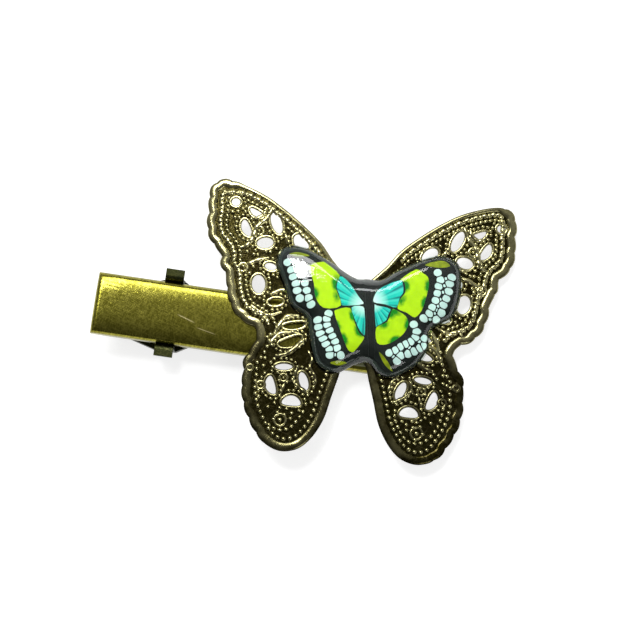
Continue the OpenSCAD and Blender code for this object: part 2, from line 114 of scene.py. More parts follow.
# Openings: centre x, y, length, width, turn in degrees, bow
FIL_HOLES = (
    (15.5, 11.3, 2.5, 1.3, 62, 0.12), (11.7, 12.3, 3.1, 1.5, 66, 0), (12.9, 9.6, 2.3, 1.6, -10, 0),
    (8.3, 10, 2.7, 1.8, 50, 0), (11.9, 6.6, 1.7, 1.1, 10, 0), (13.2, 4.2, 2.6, 1.9, 80, 0),
    (17.2, 14.6, 1.3, 1.2, 0, 0), (14.4, 13.4, 2.2, 1, 25, 0.15), (8.9, -6.1, 2.4, 1, -5, 0),
    (10.3, -8.6, 2.6, 1.4, 70, 0.15), (6.2, -7.7, 2.6, 1.3, 68, 0), (7.5, -10.4, 2.6, 1.5, 0, -0.18),
    (8.4, -2.8, 3.2, 1.2, -25, 0.08), (8.1, -0.7, 3, 0.9, -12, 0.05), (10.8, 2.1, 2, 1, -10, 0),
)
# Raised ridges: width factor, then the points that they run through
FIL_RIDGES = (
    (1.2, ((12.4, 14.2), (13.1, 12.7), (14.1, 11.7), (14.4, 10.7), (14.7, 9.8), (15.2, 9.1), (16.1, 8.7))),
    (0.9, ((10.8, 11.4), (10.3, 10.7), (10.1, 9.7))),
    (0.9, ((15.4, 13.4), (14.8, 12.8), (14.2, 12.7), (13.4, 13.4), (13.2, 14.2))),
    (1.2, ((14.9, 6.6), (13.8, 7.2), (12.2, 7.7))),
    (1, ((11.7, 2.9), (10.2, 3.7), (8.9, 3.4))),
    (1, ((5.3, -9.3), (6, -9), (6.9, -8.4), (7.3, -7.9), (7.6, -7.4))),
    (0.9, ((8.6, -8.2), (9.1, -10.1))),
    (1.3, ((10.2, -4.7), (9.7, -4.8), (8.4, -4.2), (7, -2.8), (6.7, -2.3))),
    (1.1, ((10.6, -2.6), (10.2, -1.2), (9.2, 0.3), (7.6, 0.6))),
    (1, ((10.4, -3.5), (10.9, -3.3), (9.8, -1.9), (7.4, -1.6))),
    (0.9, ((7, -5.7), (7.3, -6.5), (7.6, -7.6), (8, -8))),
    (0.9, ((6, -3.8), (5.4, -4.8), (5.6, -5.8), (5, -6.7), (4.7, -7.6), (4.9, -8.7))),
    (1, ((13.9, 1.4), (12.6, 0.6), (11.4, 0.3), (9.9, 0.9))),
)
# Rings round a bead: centre and radius
FIL_RINGS = (
    (13.8, 11.1, 0.55), (16.6, 14.8, 0.62), (15.4, 6.2, 0.55), (14.2, 13.5, 0.42), (8.7, -12.9, 0.75),
    (11.6, -8.7, 0.5), (8.8, -7.5, 0.5), (6.8, -10.8, 0.45), (13.2, -6.6, 0.4), (10.2, 8.1, 0.5),
)
FIL_BEADS = (
    (15.1, 8.3), (14.2, 8), (13.7, 8), (12.7, 8.5), (12.1, 8.5), (11.4, 9), (11.2, 9.4), (17.5, 13.3),
    (16.8, 13.4), (16.2, 13.8), (15.8, 14.1), (17.1, 12.6), (14.1, 6.4), (15.2, 5.4), (14.5, 5.5),
    (7.3, -11.9), (8, -11.4), (6.4, -10.6), (9.6, -10.8), (10.4, -11.4), (9.1, -12), (8.3, -8),
    (10.2, -5.2), (11.4, -5.2), (11.5, -6.2), (10.3, -6.3), (9.6, -6.9), (8.5, -7.1), (10.6, -5.7),
    (11.9, -5.5), (12, -6.4), (11.7, -3.4), (11.7, -4.4), (11.4, -2.5), (5, -10.3), (8.2, -12.2),
    (7.4, -12.6), (8.6, -13.7), (9.5, -12.9), (11.6, -10.1), (11.5, -11.2), (11, -12.2), (10.6, -12.9),
    (12.2, -0.4), (13.2, 0.3), (14.4, 1), (9.2, 11.8), (10, 12.3), (10.4, 13), (9.6, 9), (10.9, 5.3),
)
# The second row of beads on the lower wing
FIL_INNER_ROW = (
    (11.8, -9.4), (11.5, -11.2), (10.9, -12.6), (9.8, -13.8), (8.6, -14.2), (7.4, -13.8),
    (6.5, -12.7), (5.9, -11.6),
)

# Clay butterfly, clockwise
RESIN_EDGE = (
    (-0.1, 4), (1.8, 3.9), (4, 5), (7.2, 6.2), (9.7, 6.6), (11.5, 5.8), (12.2, 4.3), (12, 1.5),
    (10.7, -1.6), (8, -3), (7.3, -5.4), (6.1, -7.2), (4.2, -8.4), (2, -9), (0.6, -8.3),
    (-0.5, -6.8), (-2.2, -6.9), (-4.5, -7.9), (-6, -7.6), (-7.2, -6.5), (-7.7, -4.6),
    (-7.9, -2.4), (-8.2, -0.5), (-9.9, 1), (-10.8, 4), (-11.5, 6.3), (-11.2, 8), (-10, 8.9),
    (-7.6, 8.6), (-5.2, 7.1), (-2.8, 5.1), (-1.4, 4.2),
)
BODY_HALF = 0.42
LEFT_SEAM = ((-BODY_HALF, 0.35), (-3.2, 0.3), (-5.9, 0.1), (-9, -0.8))
RIGHT_SEAM = ((BODY_HALF, 0.55), (2.6, 0.1), (3.7, -0.4), (4.9, -1.25), (6.3, -2.1), (9, -3.4))

# What each wing holds: its region of the outline, inlaid panels, green blotches, streak and cells
WINGS = {
    "left_upper": {
        "region": LEFT_SEAM + ((-15, -0.8), (-15, 12), (-BODY_HALF, 12)),
        "lime": ((-7.3, 5.9), (-5.75, 6.35), (-5.1, 6.1), (-3.5, 4.4), (-4.05, 3.05), (-3.5, 0.5),
                 (-5.8, 0.3), (-6.8, 1.8), (-6.9, 3.6)),
        "fan": ((-3.7, 4.1), (-3.2, 4.25), (-2.2, 3.2), (-1.2, 1.6), (-0.7, 0.5), (-3.3, 0.45),
                (-3.6, 1), (-3.8, 2), (-4.05, 2.9)),
        "root": (-0.3, 0.2),
        "blotches": ((-4.4, 3.8), (-4.5, 1.6), (-6.8, 2.35), (-4, 3.2)),
        "streak": ((-9.7, 7.6), (-8.6, 7.75), (-7.2, 7.2), (-8.4, 7.2)),
        "cells": ((-9.9, 6.6), (-9.5, 5.6), (-9.3, 4.7), (-9, 3.8), (-8.9, 2.9), (-8.6, 1.9), (-8.8, 5.9),
                  (-8.3, 4.8), (-8, 3.7), (-7.8, 2.75), (-7.6, 1.8), (-7.3, 1)),
    },
    "left_lower": {
        "region": LEFT_SEAM + ((-15, -0.8), (-15, -12), (-BODY_HALF, -12)),
        "lime": ((-4.5, -0.5), (-4.2, 0.1), (-2.4, 0.2), (-1.9, -1.65), (-1.4, -3.1), (-0.8, -3.8),
                 (-2.1, -5.3), (-2.7, -5.4), (-3.2, -4.9), (-3.9, -2.7)),
        "fan": ((-2.3, 0.25), (-0.75, 0.3), (-0.55, -0.8), (-0.6, -2.3), (-0.8, -3.5), (-1.4, -2.9),
                (-1.9, -1.65)),
        "root": (-0.5, 0.8),
        "blotches": ((-4.5, -2.1), (-3.4, -3.75), (-2.1, -0.9), (-1.45, -2.9)),
        "streak": ((-5.3, -6.5), (-4.4, -6.85), (-3.3, -6.6), (-4.2, -6.35)),
        "cells": ((-6.5, -1.1), (-6.45, -2), (-6.3, -2.8), (-6, -3.5), (-5.7, -4.2), (-5.3, -4.9),
                  (-5.3, -5.6), (-5.2, -0.4), (-5.5, -1.1), (-5.5, -1.85), (-5.2, -2.55), (-4.9, -3.3),
                  (-4.6, -4), (-4.4, -4.8), (-4, -5.7)),
    },
    "right_upper": {
        "region": RIGHT_SEAM + ((15, -3.4), (15, 12), (BODY_HALF, 12)),
        "lime": ((4.2, 3.5), (6.3, 4.7), (7.2, 4.2), (7.8, 3.6), (7.8, 2.4), (7.3, 0.8), (6.7, -0.65),
                 (5.7, -1.55), (4.65, -0.9), (3.5, -0.25), (4, 1.1), (4.6, 1.8), (4.6, 3)),
        "fan": ((0.6, 1.4), (1.4, 2.4), (4, 3.4), (4.5, 3), (4.5, 1.8), (4, 1.1), (3.45, -0.15), (2, 0.3),
                (0.6, 0.65)),
        "root": (0, 0.6),
        "blotches": ((5, 2.6), (7.7, 2.5), (4.5, 0.6), (7.1, 0.4)),
        "streak": ((7.5, 5.15), (9.6, 5.65), (10.6, 4.95), (9.2, 4.8)),
        "cells": ((9, 4.15), (9.3, 3.2), (9, 2.4), (8.8, 1.5), (8.5, 0.6), (8, -0.3), (7.6, -1), (6.8, -1.6),
                  (10.7, 3.5), (10.4, 2.7), (10.2, 1.7), (9.8, 0.8), (9.4, 0), (9.1, -0.9), (8.4, -1.7)),
    },
    "right_lower": {
        "region": RIGHT_SEAM + ((15, -3.4), (15, -12), (BODY_HALF, -12)),
        "lime": ((2.8, -0.3), (3.4, -0.35), (4.6, -1.2), (4.9, -2.3), (4.3, -3.4), (3.3, -4.2),
                 (1.9, -4.8), (0.65, -4.5), (0.65, -2.5), (2.1, -1.8)),
        "fan": ((0.6, 0.35), (1, 0.36), (2.7, -0.2), (2.4, -1), (2.1, -1.7), (0.95, -2.35), (0.6, -2.3)),
        "root": (0.4, 1),
        "blotches": ((3.1, -0.95), (1.9, -2.6), (4.85, -2.3), (2.9, -4.2)),
        "streak": ((0.9, -5.6), (1.7, -6.5), (2.5, -8), (1.6, -7.2)),
        "cells": ((5.5, -2.35), (5.8, -3.3), (5.6, -4), (5.05, -4.5), (4.35, -4.8), (3.7, -5.1), (3, -5.5),
                  (2.2, -5.8), (6.65, -4.1), (6.5, -5.05), (6, -5.3), (5.3, -5.7), (4.5, -6), (3.6, -6.2),
                  (3.1, -6.8)),
    },
}

# Folds across each turquoise fan
FAN_FOLDS = 4


def tint(red, green, blue):
    """A colour given as eight-bit screen values, in Blender's linear light."""
    def linear(value):
        share = value / 255
        return share / 12.92 if share <= 0.04045 else ((share + 0.055) / 1.055) ** 2.4
    return (linear(red), linear(green), linear(blue))


def size(name, text, millimetres, low, high):
    return FloatProperty(
        name=name, description=text, default=millimetres * MM, min=low * MM, max=high * MM,
        subtype="DISTANCE", unit="LENGTH", precision=5,
    )


def shade(name, text, default):
    return FloatVectorProperty(
        name=name, description=text, default=default, size=3, min=0, max=1, subtype="COLOR"
    )


# ---- Properties ----
class HAIRCLIP_PG_metal(bpy.types.PropertyGroup):
    """Sizes and colours of the clip and its filigree"""
    edge_bevel: size("Edge rounding", "Rounding of the clip's cut sheet edges", 0.05, 0.01, 0.1)
    rim_w: size("Rim width", "Width of the filigree's smooth outer rim", 1.2, 0.8, 1.5)
    rope_d: size("Rope width", "Width of the filigree's wavy ridge", 0.66, 0.2, 0.8)
    bead_d: size("Bead size", "Diameter of the filigree's beads", 0.7, 0.3, 0.8)
    bead_gap: size("Bead spacing", "Spacing of the beads along the lower wings", 0.8, 0.6, 1.4)
    rope_gap: size("Rope bead spacing", "Spacing of the beads along the upper wings", 0.64, 0.4, 1)
    bronze: shade("Bronze", "Brushed bronze plating", tint(160, 154, 66))
    rubbed_and_unshaded: shade("Rubbed bronze", "High points of the filigree", tint(206, 200, 146))
    # The patina colour also stands for painted shade in the filigree's hollows
    patina: shade("Patina", "Dark patina in the hollows", tint(40, 37, 14))
    lower: shade("Dark bronze", "Darkened plating of the lower arm", tint(48, 50, 24))
    steel: shade("Spring steel", "Drawn spring wire", tint(176, 172, 160))
    glue: shade("Glue", "Cured glue under the filigree", tint(96, 98, 66))


class HAIRCLIP_PG_clay(bpy.types.PropertyGroup):
    """Sizes and colours of the clay butterfly and its resin"""
    skirt_w: size("Skirt", "Width of the clear skirt round the clay", 0.42, 0.2, 0.6)
    border_w: size("Border", "Width of the resin's edge over the backing slice", 0.92, 0.7, 1.2)
    dome_h: size("Dome", "Height of the resin's crown over the filigree", 1.95, 1.5, 2.4)
    inlay_gap: size("Inlay gap", "Half of the black line between two inlays", 0.085, 0.02, 0.1)
    cell_gap: size("Cell gap", "Black line between two white cells", 0.14, 0.04, 0.2)
    cell_r: size("Cell radius", "Radius of a large white cell", 0.51, 0.3, 0.6)
    black: shade("Black clay", "Ground of the wings", tint(11, 20, 17))
    edge: shade("Edge clay", "Backing slice under the skirt", tint(50, 58, 54))
    lime: shade("Lime clay", "Outer panels", tint(190, 226, 0))
    green: shade("Green clay", "Blotches along the lime panels", tint(8, 132, 10))
    turquoise: shade("Turquoise clay", "Fans at the wing roots", tint(14, 192, 180))
    mint: shade("Mint clay", "Root of the fans", tint(226, 252, 244))
    white: shade("White clay", "Cells along the wing edges", tint(218, 240, 236))
    olive: shade("Olive clay", "Streaks at the wing tips", tint(146, 158, 18))
    resin: shade("Resin", "Tint of the clear coat", tint(236, 242, 238))


class HAIRCLIP_PG_studio(bpy.types.PropertyGroup):
    """The camera and lights"""
    view_width: size("View width", "Width of what the camera sees", 82, 60, 120)
    lens: FloatProperty(name="Lens", description="Focal length in millimetres", default=120, min=50, max=200)
    lean: FloatProperty(
        name="Lean", description="How far the camera leans off the flat arm's normal",
        default=math.radians(8), min=0, max=math.radians(30), subtype="ANGLE", unit="ROTATION",
    )
    turn: FloatProperty(
        name="Turn", description="Turn of the clip in the picture",
        default=math.radians(8.3), min=-math.pi, max=math.pi, subtype="ANGLE", unit="ROTATION",
    )


# ---- Outline helpers, on arrays of (x, y) ----
def between(a, b, c, d, t):
    """The point at share t of the way from b to c, on a smooth curve through a, b, c and d."""
    return 0.5 * (
        2 * b + (c - a) * t + (2 * a - 5 * b + 4 * c - d) * t**2 + (3 * b - a - 3 * c + d) * t**3
    )


def smooth_loop(points, steps):
    """A smooth closed curve through the points, with a number of steps from each to the next."""
    p = np.array(points, float)
    a, c, d = np.roll(p, 1, 0), np.roll(p, -1, 0), np.roll(p, -2, 0)
    rows = [between(a, p, c, d, t) for t in np.arange(steps) / steps]
    return np.stack(rows, 1).reshape(-1, 2)


def smooth_line(points, steps):
    """A smooth open curve through the points."""
    p = np.array(points, float)
    p = np.vstack((2 * p[0] - p[1], p, 2 * p[-1] - p[-2]))
    legs = zip(p, p[1:], p[2:], p[3:])
    rows = [between(*leg, t) for leg in legs for t in np.arange(steps) / steps]
    return np.vstack((rows, p[-2]))


def mirrored(half):
    """A whole outline from its right half."""
    return tuple(half) + tuple((-x, y) for x, y in half[-2:0:-1])


def flipped(points, side):
    return [(side * x, y) for x, y in points]


def counter_clockwise(outline):
    x, y = outline[:, 0], outline[:, 1]
    return outline if (x * np.roll(y, -1) - y * np.roll(x, -1)).sum() > 0 else outline[::-1]


def inset(outline, depth):
    """A closed outline moved inwards at each of its points."""
    outline = counter_clockwise(outline)
    along = np.roll(outline, -1, 0) - np.roll(outline, 1, 0)
    along /= np.linalg.norm(along, axis=1)[:, None]
    return outline + np.reshape(depth, (-1, 1)) * np.stack((-along[:, 1], along[:, 0]), 1)


def edge_gap(points, outline):
    """The distance from each point to a closed outline."""
    points = np.atleast_2d(points)[:, :2]
    start = outline
    run = np.roll(outline, -1, 0) - start
    away = points[:, None] - start[None]
    share = np.clip((away * run).sum(-1) / np.maximum((run * run).sum(-1), 1e-12), 0, 1)
    return np.linalg.norm(away - share[..., None] * run, axis=-1).min(1)


def inside(points, outline):
    """Which points lie inside a closed outline."""
    points = np.atleast_2d(points)[:, :2]
    x, y = points[:, 0][:, None], points[:, 1][:, None]
    ax, ay = outline[:, 0], outline[:, 1]
    bx, by = np.roll(ax, -1), np.roll(ay, -1)
    spans = (ay > y) != (by > y)
    with np.errstate(divide="ignore", invalid="ignore"):
        crossing = x < (bx - ax) * (y - ay) / (by - ay) + ax
    return (spans & crossing).sum(1) % 2 == 1


def spaced(path, gap, closed=True):
    """Points at even spacing along a path, with the direction of the path at each."""
    ring = np.vstack((path, path[:1])) if closed else np.asarray(path)
    legs = np.linalg.norm(np.diff(ring, axis=0), axis=1)
    reach = np.concatenate(([0], np.cumsum(legs)))
    count = max(2, round(reach[-1] / gap))
    marks = np.linspace(0, reach[-1], count, endpoint=not closed)
    spots = np.stack((np.interp(marks, reach, ring[:, 0]), np.interp(marks, reach, ring[:, 1])), 1)
    leg = np.clip(np.searchsorted(reach, marks, side="right") - 1, 0, len(legs) - 1)
    heading = np.arctan2(np.diff(ring[:, 1])[leg], np.diff(ring[:, 0])[leg])
    return spots, heading


def oval(x, y, length, width, turn, bow, steps=26):
    """A bowed oval, as the stamped openings are."""
    a = np.arange(steps) * 2 * math.pi / steps
    u = length / 2 * np.cos(a)
    v = width / 2 * np.sin(a) + bow * (u * u - length * length / 12)
    c, s = math.cos(math.radians(turn)), math.sin(math.radians(turn))
    return np.stack((x + u * c - v * s, y + u * s + v * c), 1)


def cropped(outline, point, normal):
    """The part of a convex outline on the side of a line that the normal points away from."""
    side = ((outline - point) * normal).sum(1)
    kept = []
    for i in range(len(outline)):
        j = (i + 1) % len(outline)
        if side[i] <= 0:
            kept.append(outline[i])
        if (side[i] < 0) != (side[j] < 0) and side[i] != side[j]:
            kept.append(outline[i] + (outline[j] - outline[i]) * side[i] / (side[i] - side[j]))
    return np.array(kept)


def distinct(outline):
    """An outline without points that all but coincide."""
    if len(outline) < 3:
        return outline
    return outline[np.linalg.norm(outline - np.roll(outline, 1, 0), axis=1) > 0.01]


def area(outline):
    x, y = outline[:, 0], outline[:, 1]
    return abs((x * np.roll(y, -1) - y * np.roll(x, -1)).sum()) / 2


def softened(outline):
    """An outline with its corners cut."""
    following = np.roll(outline, -1, 0)
    return np.stack((0.78 * outline + 0.22 * following, 0.22 * outline + 0.78 * following), 1).reshape(-1, 2)


def leaning(outline):
    return np.stack((outline[:, 0] - FIL_LEAN_X - FIL_LEAN * outline[:, 1], outline[:, 1]), 1)


FIL_OUTLINE = leaning(smooth_loop(mirrored(FIL_HALF), 5))
RESIN_OUTLINE = counter_clockwise(smooth_loop(RESIN_EDGE, 5))


def top_share(points):
    """How far each point belongs to the upper wings' long top edges, from 0 to 1."""
    return np.clip((points[:, 1] - 0.8 * np.abs(points[:, 0]) - 2.9) / 1.2, 0, 1)


def top_edge(outline):
    """The same for an outline, in the order in which inset takes its points."""
    return top_share(counter_clockwise(outline))


def low_share(points):
    """How far each point belongs to the lower wings, from 0 to 1."""
    return np.clip((-1.5 - points[:, 1]) / 3, 0, 1)


def all_holes():
    return [oval(side * x, y, length, width, side * turn, bow)
            for side in (1, -1) for x, y, length, width, turn, bow in FIL_HOLES]


# ---- Modelling helpers ----
def deselect():
    if bpy.context.mode != "OBJECT":
        bpy.ops.object.mode_set(mode="OBJECT")
    bpy.ops.object.select_all(action="DESELECT")


def pick(piece):
    deselect()
    piece.select_set(True)
    bpy.context.view_layer.objects.active = piece


def edit(piece):
    pick(piece)
    bpy.ops.object.mode_set(mode="EDIT")
    bpy.ops.mesh.select_all(action="SELECT")


def leave():
    bpy.ops.object.mode_set(mode="OBJECT")


def slab(name, outline, low, high, rings=()):
    """A closed slab with the outline's plan. rings are the widths of insets along its edge."""
    deselect()
    bpy.ops.mesh.primitive_circle_add(vertices=len(outline), radius=1, fill_type="NGON")
    piece = bpy.context.object
    piece.name = name
    for vertex, (x, y) in zip(piece.data.vertices, outline):
        vertex.co = (x, y, low)
    edit(piece)
    bpy.ops.mesh.normals_make_consistent(inside=False)
    for width in rings:
        bpy.ops.mesh.inset(thickness=width, depth=0)
    bpy.ops.mesh.select_all(action="SELECT")
    bpy.ops.mesh.extrude_region_move(TRANSFORM_OT_translate={"value": (0, 0, high - low)})
    bpy.ops.mesh.select_all(action="SELECT")
    bpy.ops.mesh.normals_make_consistent(inside=False)
    leave()
    return piece


def grid_cut(piece, step_x, step_y):
    """Upright cuts at even steps, which let a flat piece bend."""
    points = coords(piece)
    edit(piece)
    for axis, step in ((0, step_x), (1, step_y)):
        if not step:
            continue
        low, high = points[:, axis].min(), points[:, axis].max()
        for place in np.arange(math.floor(low / step) + 1, math.ceil(high / step)) * step:
            spot = [0, 0, 0]
            spot[axis] = place
            normal = [0, 0, 0]
            normal[axis] = 1
            bpy.ops.mesh.select_all(action="SELECT")
            bpy.ops.mesh.bisect(plane_co=spot, plane_no=normal, threshold=1e-5)
    leave()


def coords(piece):
    flat = np.empty(len(piece.data.vertices) * 3)
    piece.data.vertices.foreach_get("co", flat)
    return flat.reshape(-1, 3)


def set_coords(piece, points):
    piece.data.vertices.foreach_set("co", np.ascontiguousarray(points, dtype=float).ravel())
    piece.data.update()


def paint(piece, name, values):
    """Keeps a value at each vertex, for the piece's material."""
    layer = piece.data.attributes.get(name) or piece.data.attributes.new(name, "FLOAT", "POINT")
    layer.data.foreach_set("value", np.asarray(values, dtype=np.float32))


def carve(piece, cutter, operation="DIFFERENCE"):
    """Takes the cutter's space out of the piece, or keeps only what is in it with INTERSECT."""
    pick(piece)
    cut = piece.modifiers.new("Cut", "BOOLEAN")
    cut.operation = operation
    cut.solver = "EXACT"
    cut.object = cutter
    bpy.ops.object.modifier_apply(modifier=cut.name)
    bpy.data.objects.remove(cutter)


def joined(pieces, name):
    deselect()
    for piece in pieces:
        piece.select_set(True)
    bpy.context.view_layer.objects.active = pieces[0]
    if len(pieces) > 1:
        bpy.ops.object.join()
    whole = bpy.context.object
    whole.name = name
    return whole


def tube(name, path, radius, closed=False, height=0.0, flat=1.0, sides=2):
    """A round bar along a path. radius is one value or one for each point; flat squeezes its height."""
    deselect()
    bpy.ops.curve.primitive_nurbs_path_add()
    bar = bpy.context.object
    bar.name = name
    bar.data.splines.clear()
    line = bar.data.splines.new("POLY")
    line.points.add(len(path) - 1)
    radii = np.broadcast_to(radius, len(path))
    for point, place, width in zip(line.points, path, radii):
        point.co = (place[0], place[1], place[2] if len(place) > 2 else 0, 1)
        point.radius = width
    line.use_cyclic_u = closed
    bar.data.dimensions = "3D"
    bar.data.bevel_depth = 1
    bar.data.bevel_resolution = sides
    bar.data.use_fill_caps = not closed
    bpy.ops.object.convert(target="MESH")
    piece = bpy.context.object
    edit(piece)
    bpy.ops.mesh.remove_doubles(threshold=1e-4)
    bpy.ops.mesh.normals_make_consistent(inside=False)
    leave()
    points = coords(piece)
    points[:, 2] = points[:, 2] * flat + height
    set_coords(piece, points)
    return piece


def bead_template():
    """One low domed bead of unit radius, flat at the bottom."""
    deselect()
    bpy.ops.mesh.primitive_uv_sphere_add(segments=12, ring_count=8, radius=1)
    bead = bpy.context.object
    edit(bead)
    bpy.ops.mesh.bisect(plane_co=(0, 0, -0.05), plane_no=(0, 0, 1), clear_inner=True, use_fill=True)
    leave()
    return bead


def copy_of(template, matrix):
    twin = template.copy()
    twin.data = template.data.copy()
    twin.data.transform(matrix)
    bpy.context.collection.objects.link(twin)
    return twin


def turned(points, angle):
    c, s = math.cos(angle), math.sin(angle)
    return points @ np.array(((c, s), (-s, c)))


def seat(piece, place):
    """Moves a piece drawn flat to its place on the clip. place is clay, filigree or clip."""
    points = coords(piece)
    if place == "clay":
        points[:, :2] = turned(points[:, :2], CLAY_TURN) + (CLAY_X, CLAY_Y)
    if place != "clip":
        points[:, 2] = np.sqrt((DOME_R + points[:, 2]) ** 2 - points[:, 0] ** 2) - DOME_R
        points[:, :2] = turned(points[:, :2], FIL_TURN) + (FIL_X, FIL_Y)
    set_coords(piece, points)
    piece.data.transform(CLIP_TO_ROW)
    piece.data.update()


def finish(piece, material, body, nodes, angle=40):
    """Smooths a seated piece, gives it its material and body, and hides the nodes that it stands for."""
    pick(piece)
    bpy.ops.object.shade_smooth_by_angle(angle=math.radians(angle))
    piece.data.materials.clear()
    piece.data.materials.append(material)
    if body:
        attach(piece, body)
    if nodes:
        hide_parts(*nodes)


def wobble(points, scale, seed):
    """A smooth unevenness from -1 to 1 at each point."""
    return np.array([noise.noise(Vector((x * scale, y * scale, seed))) for x, y in points[:, :2]])


def from_cad(node, name, bevel):
    """A merged copy of a node with its cut edges rounded a little."""
    source = frame["nodes"][node]
    deselect()
    piece = source.copy()
    piece.data = source.data.copy()
    piece.name = name
    piece.parent = None
    bpy.context.collection.objects.link(piece)
    piece.data.materials.clear()
    edit(piece)
    bpy.ops.mesh.customdata_custom_splitnormals_clear()
    bpy.ops.mesh.remove_doubles(threshold=1e-7)
    bpy.ops.mesh.dissolve_limited(angle_limit=math.radians(0.4))
    leave()
    pick(piece)
    bpy.ops.object.shade_smooth_by_angle(angle=math.radians(32))
    rounding = piece.modifiers.new("Rounding", "BEVEL")
    rounding.width = bevel
    rounding.segments = 2
    rounding.limit_method = "ANGLE"
    rounding.angle_limit = math.radians(38)
    bpy.ops.object.modifier_apply(modifier=rounding.name)
    weight = piece.modifiers.new("Even shading", "WEIGHTED_NORMAL")
    weight.keep_sharp = True
    bpy.ops.object.modifier_apply(modifier=weight.name)
    return piece


# ---- Material helpers ----
def add(tree, kind, settings=None, **inputs):
    """A node with its settings, and its inputs given as values or as other nodes' outputs."""
    node = tree.nodes.new("ShaderNode" + kind)
    for name, value in (settings or {}).items():
        setattr(node, name, value)
    for name, value in inputs.items():
        put(tree, node.inputs[name.replace("_", " ")], value)
    return node


def put(tree, socket, value):
    if isinstance(value, bpy.types.NodeSocket):
        tree.links.new(value, socket)
    else:
        socket.default_value = value


def calc(tree, operation, a, b=None, clamp=False):
    node = add(tree, "Math", {"operation": operation, "use_clamp": clamp})
    put(tree, node.inputs[0], a)
    if b is not None:
        put(tree, node.inputs[1], b)
    return node.outputs[0]


def fit(tree, value, low, high, to_low=0.0, to_high=1.0):
    """Stretches a value's range, held at both ends."""
    limits = {"From_Min": low, "From_Max": high, "To_Min": to_low, "To_Max": to_high}
    return add(tree, "MapRange", None, Value=value, **limits).outputs[0]


# The Mix node's sockets for colours
MIX_COLOURS = (6, 7)
MIX_RESULT = 2


def mix(tree, share, a, b):
    """One colour laid over another, by a share from 0 to 1."""
    node = add(tree, "Mix", {"data_type": "RGBA"})
    put(tree, node.inputs[0], share)
    for socket, colour in zip(MIX_COLOURS, (a, b)):
        put(tree, node.inputs[socket], colour if isinstance(colour, bpy.types.NodeSocket) else (*colour, 1))
    return node.outputs[MIX_RESULT]


def scaled(tree, share, factor):
    return calc(tree, "MULTIPLY", share, factor)


def grain_of(tree, place, size, detail, roughness=0.5):
    """A cloudy noise from 0 to 1."""
    node = add(tree, "TexNoise", None, Vector=place, Scale=size, Detail=detail, Roughness=roughness)
    return node.outputs["Fac"]


def attribute(tree, name):
    return add(tree, "Attribute", {"attribute_name": name}).outputs["Fac"]


def surface(tree, shader, tone, rough, relief):
    """Gives the shader its colour, roughness and fine relief."""
    put(tree, shader.inputs["Base Color"], tone)
    put(tree, shader.inputs["Roughness"], rough)
    put(tree, shader.inputs["Normal"], relief)


def new_material(name, metallic=0.0):
    material = bpy.data.materials.new(name)
    material.use_nodes = True
    tree = material.node_tree
    shader = tree.nodes["Principled BSDF"]
    shader.inputs["Metallic"].default_value = metallic
    return material, tree, shader


def millimetres(tree):
    """Object coordinates in millimetres."""
    place = add(tree, "TexCoord").outputs["Object"]
    return add(tree, "Mapping", None, Vector=place, Scale=(1 / MM, 1 / MM, 1 / MM)).outputs[0]


def new_group(name, inputs, outputs):
    group = bpy.data.node_groups.new(name, "ShaderNodeTree")
    for label, kind, value in inputs:
        socket = group.interface.new_socket(label, in_out="INPUT", socket_type="NodeSocket" + kind)
        if value is not None:
            socket.default_value = value
    for label, kind in outputs:
        group.interface.new_socket(label, in_out="OUTPUT", socket_type="NodeSocket" + kind)
    return group, group.nodes.new("NodeGroupInput").outputs, group.nodes.new("NodeGroupOutput").inputs


def use_group(tree, name, **inputs):
    node = tree.nodes.new("ShaderNodeGroup")
    node.node_tree = bpy.data.node_groups[name]
    for label, value in inputs.items():
        put(tree, node.inputs[label.replace("_", " ")], value)
    return node.outputs


def build_scratch_group():
    """Fine hairline scratches that run in several directions."""
    group, given, out = new_group(
        "Hairline scratches",
        (("Vector", "Vector", None), ("Fineness", "Float", 3.0), ("Amount", "Float", 0.5)),
        (("Mask", "Float"), ("Weave", "Float"), ("Haze", "Float")),
    )
    lines = 0.0
    ground = 0.0
    # Turn and tip in degrees, stretch and shift of each layer
    runs = (
        (18, 40, 11, 1.3), (-34, -35, 9, 5.1), (63, 50, 9, 9.7), (-72, -50, 12, 14.2), (4, 30, 13, 21.5),
    )
    for turn, tip, stretch, shift in runs:
        spun = add(group, "Mapping", None, Vector=given["Vector"], Location=(shift, shift, 0),
                   Rotation=(math.radians(tip), 0, math.radians(turn))).outputs[0]
        laid = add(group, "Mapping", None, Vector=spun, Scale=(1, stretch, 1)).outputs[0]
        grain = grain_of(group, laid, 0.75, 1.0)
        ray = fit(group, grain, 0.63, 0.72)
        lines = calc(group, "MAXIMUM", lines, ray)
        ground = calc(group, "ADD", ground, grain)
    haze = grain_of(group, given["Vector"], given["Fineness"], 5.0, 0.7)
    patch = grain_of(group, given["Vector"], 0.9, 2.0)
    there = calc(group, "MULTIPLY", lines, fit(group, patch, 0.3, 0.6, 0.35, 1))
    put(group, out["Mask"], calc(group, "MULTIPLY", there, given["Amount"], clamp=True))
    put(group, out["Weave"], fit(group, ground, 2.2, 2.85))
    put(group, out["Haze"], haze)


def build_patina_group():
    """Cloudy darkening, with small pits and spots."""
    group, given, out = new_group(
        "Patina",
        (("Vector", "Vector", None), ("Cloud size", "Float", 0.5), ("Spot size", "Float", 5.0)),
        (("Cloud", "Float"), ("Spots", "Float")),
    )
    cloud = grain_of(group, given["Vector"], given["Cloud size"], 4.0, 0.6)
    spot = grain_of(group, given["Vector"], given["Spot size"], 3.0, 0.65)
    put(group, out["Cloud"], fit(group, cloud, 0.32, 0.68))
    put(group, out["Spots"], fit(group, spot, 0.42, 0.72))


